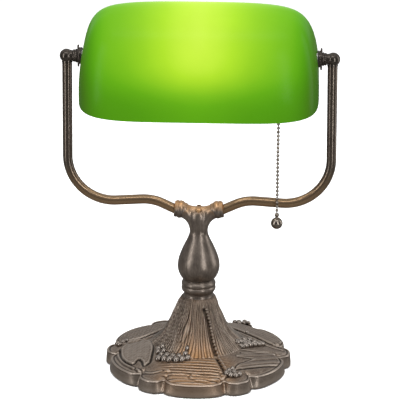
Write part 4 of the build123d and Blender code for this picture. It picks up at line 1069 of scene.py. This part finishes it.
lamp_shade = shade_shell()
lamp_shade.visible_glossy = False
lamp_shade.visible_diffuse = False
place(lamp_shade, "shade", [SHADE_GREEN, SHADE_OPAL], "green_glass", "shade_glass")


# --- bulb and socket
def glowing(obj, centre_x, reach):
    """Glow attribute that fades with distance along X from the bulb's middle."""
    x = coordinates_of(obj)[:, 0]
    point_values(obj, "glow", np.clip(1 - np.abs(x - centre_x) / reach, 0, 1))
    return obj


bulb_low, bulb_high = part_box("bulb_glass")
BULB_RADIUS = bulb_high.y / MM
BULB_TIP = bulb_low.x / MM
BULB_MIDDLE = BULB_TIP + BULB_RADIUS

bulb_line = [(BULB_RADIUS * sin(radians(t)), BULB_MIDDLE - BULB_RADIUS * cos(radians(t))) for t in range(0, 131, 5)]
bulb_line += smooth_line([bulb_line[-1], (15.0, 29.0), (12.9, 34.0), (12.3, 38.5), (12.3, 41.0), (0.01, 41.0)],
                         5)[1:].tolist()
bulb = turned("bulb_envelope", bulb_line, AXIS_POINT, (1, 0, 0), 72)
place(glowing(bulb, BULB_MIDDLE, 50), "stand", BULB_FROST, "bulb_white", "bulb_glass")
glowing(NODES["bulb_stem"], 20, 40)

thread = [(12.35, 39.0), (13.0, 39.2)]
for turn in range(5):
    at = 42.0 + turn * 3.6
    thread += [(12.5, at - 0.9), (12.9, at), (13.1, at + 0.9), (12.9, at + 1.8)]
thread += [(12.3, 60.8), (11.0, 61.8), (6.0, 64.1), (0.01, 64.1)]
place(turned("bulb_cap_threaded", smooth_line(thread, 3), AXIS_POINT, (1, 0, 0), 72), "stand",
      BULB_ALUMINIUM, "bulb_metal", "bulb_cap")

shell_line = [(16.7, 85.4), (17.3, 85.4), (17.3, 80.0), (17.3, 78.0), (17.6, 77.4), (17.3, 76.8), (17.3, 62.0),
              (17.3, 57.0), (17.7, 56.2), (17.3, 55.4), (17.3, 52.8), (17.9, 51.8), (18.3, 50.9), (18.0, 50.1),
              (17.0, 50.1), (16.7, 50.8)]
place(turned("socket_shell_turned", smooth_line(shell_line, 3), AXIS_POINT, (1, 0, 0), 96, True), "stand",
      SOCKET_BRASS, "socket_brass", "socket_shell")
cap_line = [(4.03, 103.0), (6.2, 103.0), (6.8, 102.4), (6.8, 99.2), (7.6, 97.6), (10.0, 96.0), (12.6, 94.6),
            (14.8, 92.6), (16.6, 90.2), (17.8, 87.8), (18.1, 86.0), (18.1, 83.6), (18.3, 83.0), (17.9, 82.5),
            (17.35, 82.6), (17.35, 87.0), (15.3, 90.3), (11.5, 94.0), (6.8, 96.8), (4.03, 97.0)]
place(turned("socket_cap_turned", smooth_line(cap_line, 3), AXIS_POINT, (1, 0, 0), 96, True), "stand",
      SOCKET_BRASS, "socket_brass", "socket_cap")
chain_foot = (CHAIN_X, CHAIN_Y, 0)
bell_line = [(1.9, 299.8), (3.2, 299.8), (3.2, 296.0), (3.5, 295.4), (3.2, 294.8), (3.2, 292.6), (3.6, 290.4),
             (4.4, 289.0), (4.6, 288.5), (3.9, 288.5), (2.6, 290.4), (1.9, 293.0)]
place(turned("chain_bell_turned", smooth_line(bell_line, 3), chain_foot, (0, 0, 1), 48, True), "stand",
      SOCKET_BRASS, "socket_brass", "chain_bell")


# --- chain
BEAD_PITCH = 3.9
BEAD_RADIUS = 1.6
BEAD_NECK = (0.42, 1.56)             # radius and height of a bead where the wire leaves it
CHAIN_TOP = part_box("pull_chain")[1].z / MM - BEAD_RADIUS
CHAIN_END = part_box("pull_chain")[0].z / MM + BEAD_RADIUS
KNOB_RADIUS = 5.8
KNOB_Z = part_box("chain_knob")[0].z / MM + KNOB_RADIUS - 0.4
bead_count = round((CHAIN_TOP - CHAIN_END) / BEAD_PITCH) + 1
beads = []
for index in range(bead_count):
    z = CHAIN_TOP - index * BEAD_PITCH
    bead_line = [(0.01, -BEAD_RADIUS), (BEAD_NECK[0], -BEAD_NECK[1])]
    bead_line += [(BEAD_RADIUS * sin(radians(t)), -BEAD_RADIUS * cos(radians(t))) for t in range(25, 156, 13)]
    bead_line += [BEAD_NECK, (0.01, BEAD_RADIUS)]
    beads.append(turned("bead", bead_line, (CHAIN_X, CHAIN_Y, z), (0, 0, 1), 20))
beads.append(swept("wire", [(CHAIN_X, CHAIN_Y, z) for z in np.linspace(CHAIN_END, CHAIN_TOP, 8)], 0.6, 10))
place(joined("ball_chain", beads), "chain", NICKEL, "chain_nickel", "pull_chain")

knob_line = [(0.01, KNOB_Z - KNOB_RADIUS)] + [
    (KNOB_RADIUS * sin(radians(t)), KNOB_Z - KNOB_RADIUS * cos(radians(t))) for t in range(8, 157, 7)]
knob_line += smooth_line([knob_line[-1], (1.75, KNOB_Z + 5.6), (1.6, KNOB_Z + 6.6), (2.1, KNOB_Z + 7.4),
                          (2.2, KNOB_Z + 9.0), (1.7, KNOB_Z + 9.9), (0.01, KNOB_Z + 10.2)], 4)[1:].tolist()
place(turned("chain_ball_knob", knob_line, chain_foot, (0, 0, 1), 64), "chain", NICKEL, "chain_nickel", "chain_knob")
coupling = smooth_line([(1.5, 287.0), (2.0, 287.0), (2.15, 286.4), (1.95, 285.6), (2.1, 283.8), (1.95, 282.0),
                        (2.15, 281.2), (2.0, 280.6), (1.5, 280.6)], 3).tolist()
place(turned("chain_coupling_turned", coupling, chain_foot, (0, 0, 1), 32, True), "chain_swivel",
      SOCKET_BRASS, "socket_brass", "chain_coupling")


# --- felt
felt_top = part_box("felt_pad")[1].z / MM
felt_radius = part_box("felt_pad")[1].x / MM
felt_line = smooth_line(
    [(0.01, 0.0), (40, 0.0), (felt_radius - 1.2, 0.0), (felt_radius - 0.3, 0.3), (felt_radius, 0.8),
     (felt_radius - 0.2, 1.3), (felt_radius - 1.0, felt_top), (40, felt_top), (0.01, felt_top)], 5)
felt_line[:, 1] = np.clip(felt_line[:, 1], 0.0, felt_top)
place(turned("felt_disc", felt_line, segments=180), "stand", FELT, "felt", "felt_pad")


# --- studio
def area_light(name, location, target, size, power):
    """Rectangular soft light aimed at a point."""
    data = bpy.data.lights.new(name, "AREA")
    data.shape = "RECTANGLE"
    data.size, data.size_y = size
    data.energy = power
    obj = linked(name, data)
    obj.location = location
    obj.rotation_euler = (Vector(target) - Vector(location)).to_track_quat("-Z", "Y").to_euler()
    return obj


def studio():
    """Pale floor, surroundings that are white for the camera, and the lights."""
    floor_mesh = bpy.data.meshes.new("floor")
    half = 14.0
    corners = [(-half, -half, 0), (half, -half, 0), (half, half, 0), (-half, half, 0)]
    floor_mesh.from_pydata(corners, [], [(0, 1, 2, 3)])
    floor = linked("floor", floor_mesh)
    material, tree, shader = new_material("pale_floor")
    path = tree.nodes.new("ShaderNodeLightPath")
    pale = grey_ramp(tree, noise_node(tree, 3.0), 0.90, 0.92)
    muted = mix(tree, path.outputs["Is Glossy Ray"], (0.42, 0.41, 0.40), (0.13, 0.125, 0.12))
    tree.links.new(mix(tree, path.outputs["Is Camera Ray"], muted, pale), shader.inputs["Base Color"])
    shader.inputs["Roughness"].default_value = 0.9
    shader.inputs["Specular IOR Level"].default_value = 0.1
    floor_mesh.materials.append(material)

    world = bpy.data.worlds.new("studio")
    bpy.context.scene.world = world
    world.use_nodes = True
    tree = world.node_tree
    background = tree.nodes["Background"]
    coordinates = tree.nodes.new("ShaderNodeTexCoord")
    split = tree.nodes.new("ShaderNodeSeparateXYZ")
    tree.links.new(coordinates.outputs["Generated"], split.inputs["Vector"])
    parts = []
    for axis, stops in (
        ("Y", [(0.0, (0.10,) * 3), (0.45, (0.13,) * 3), (0.75, (0.26,) * 3), (1.0, (0.50,) * 3)]),
        ("Z", [(0.5, (0.0,) * 3), (0.7, (0.10,) * 3), (1.0, (0.55,) * 3)]),
    ):
        shift = tree.nodes.new("ShaderNodeMath")
        shift.operation = "MULTIPLY_ADD"
        shift.inputs[1].default_value = 0.5
        shift.inputs[2].default_value = 0.5
        tree.links.new(split.outputs[axis], shift.inputs[0])
        parts.append(ramp(tree, shift.outputs[0], stops))
    total = tree.nodes.new("ShaderNodeMix")
    total.data_type = "RGBA"
    total.blend_type = "ADD"
    total.inputs["Factor"].default_value = 1.0
    tree.links.new(parts[0], total.inputs[6])
    tree.links.new(parts[1], total.inputs[7])
    path = tree.nodes.new("ShaderNodeLightPath")
    tree.links.new(
        mix(tree, path.outputs["Is Camera Ray"], total.outputs[2], (1.0, 1.0, 1.0)), background.inputs["Color"])

    area_light("strip_left", (-0.59, -0.46, 0.38), (0, 0, 0.38), (0.13, 0.76), 1.9)
    area_light("strip_right", (0.39, -0.64, 0.38), (0, 0, 0.38), (0.10, 0.76), 2.1)
    area_light("strip_far_right", (0.75, 0.10, 0.38), (0, 0, 0.38), (0.30, 0.76), 1.6)
    area_light("strip_top", (0, -0.60, 1.30), (0, 0, 0.2), (1.3, 0.16), 3.4)
    overhead = area_light("overhead", (0, 0.1, 2.2), (0, 0, 0), (2.2, 2.2), 95)
    overhead.visible_glossy = False


def camera():
    """Camera at the viewing angle of the reference, from a pinhole camera fitted to places on the lamp."""
    azimuth, distance, height, pitch = radians(2.96), 1.6, 0.66, radians(17.02)
    data = bpy.data.cameras.new("camera")
    data.sensor_width = 36.0
    data.lens = 154.9
    data.shift_x = 0.00275
    obj = linked("camera", data)
    location = Vector((sin(azimuth) * distance, -cos(azimuth) * distance, height))
    forward = Vector((-sin(azimuth) * cos(pitch), cos(azimuth) * cos(pitch), -sin(pitch)))
    roll = Matrix.Rotation(radians(0.21), 4, "Z")
    obj.matrix_world = Matrix.Translation(location) @ forward.to_track_quat("-Z", "Y").to_matrix().to_4x4() @ roll
    bpy.context.scene.camera = obj


studio()
camera()
bpy.context.scene.view_settings.view_transform = "Standard"
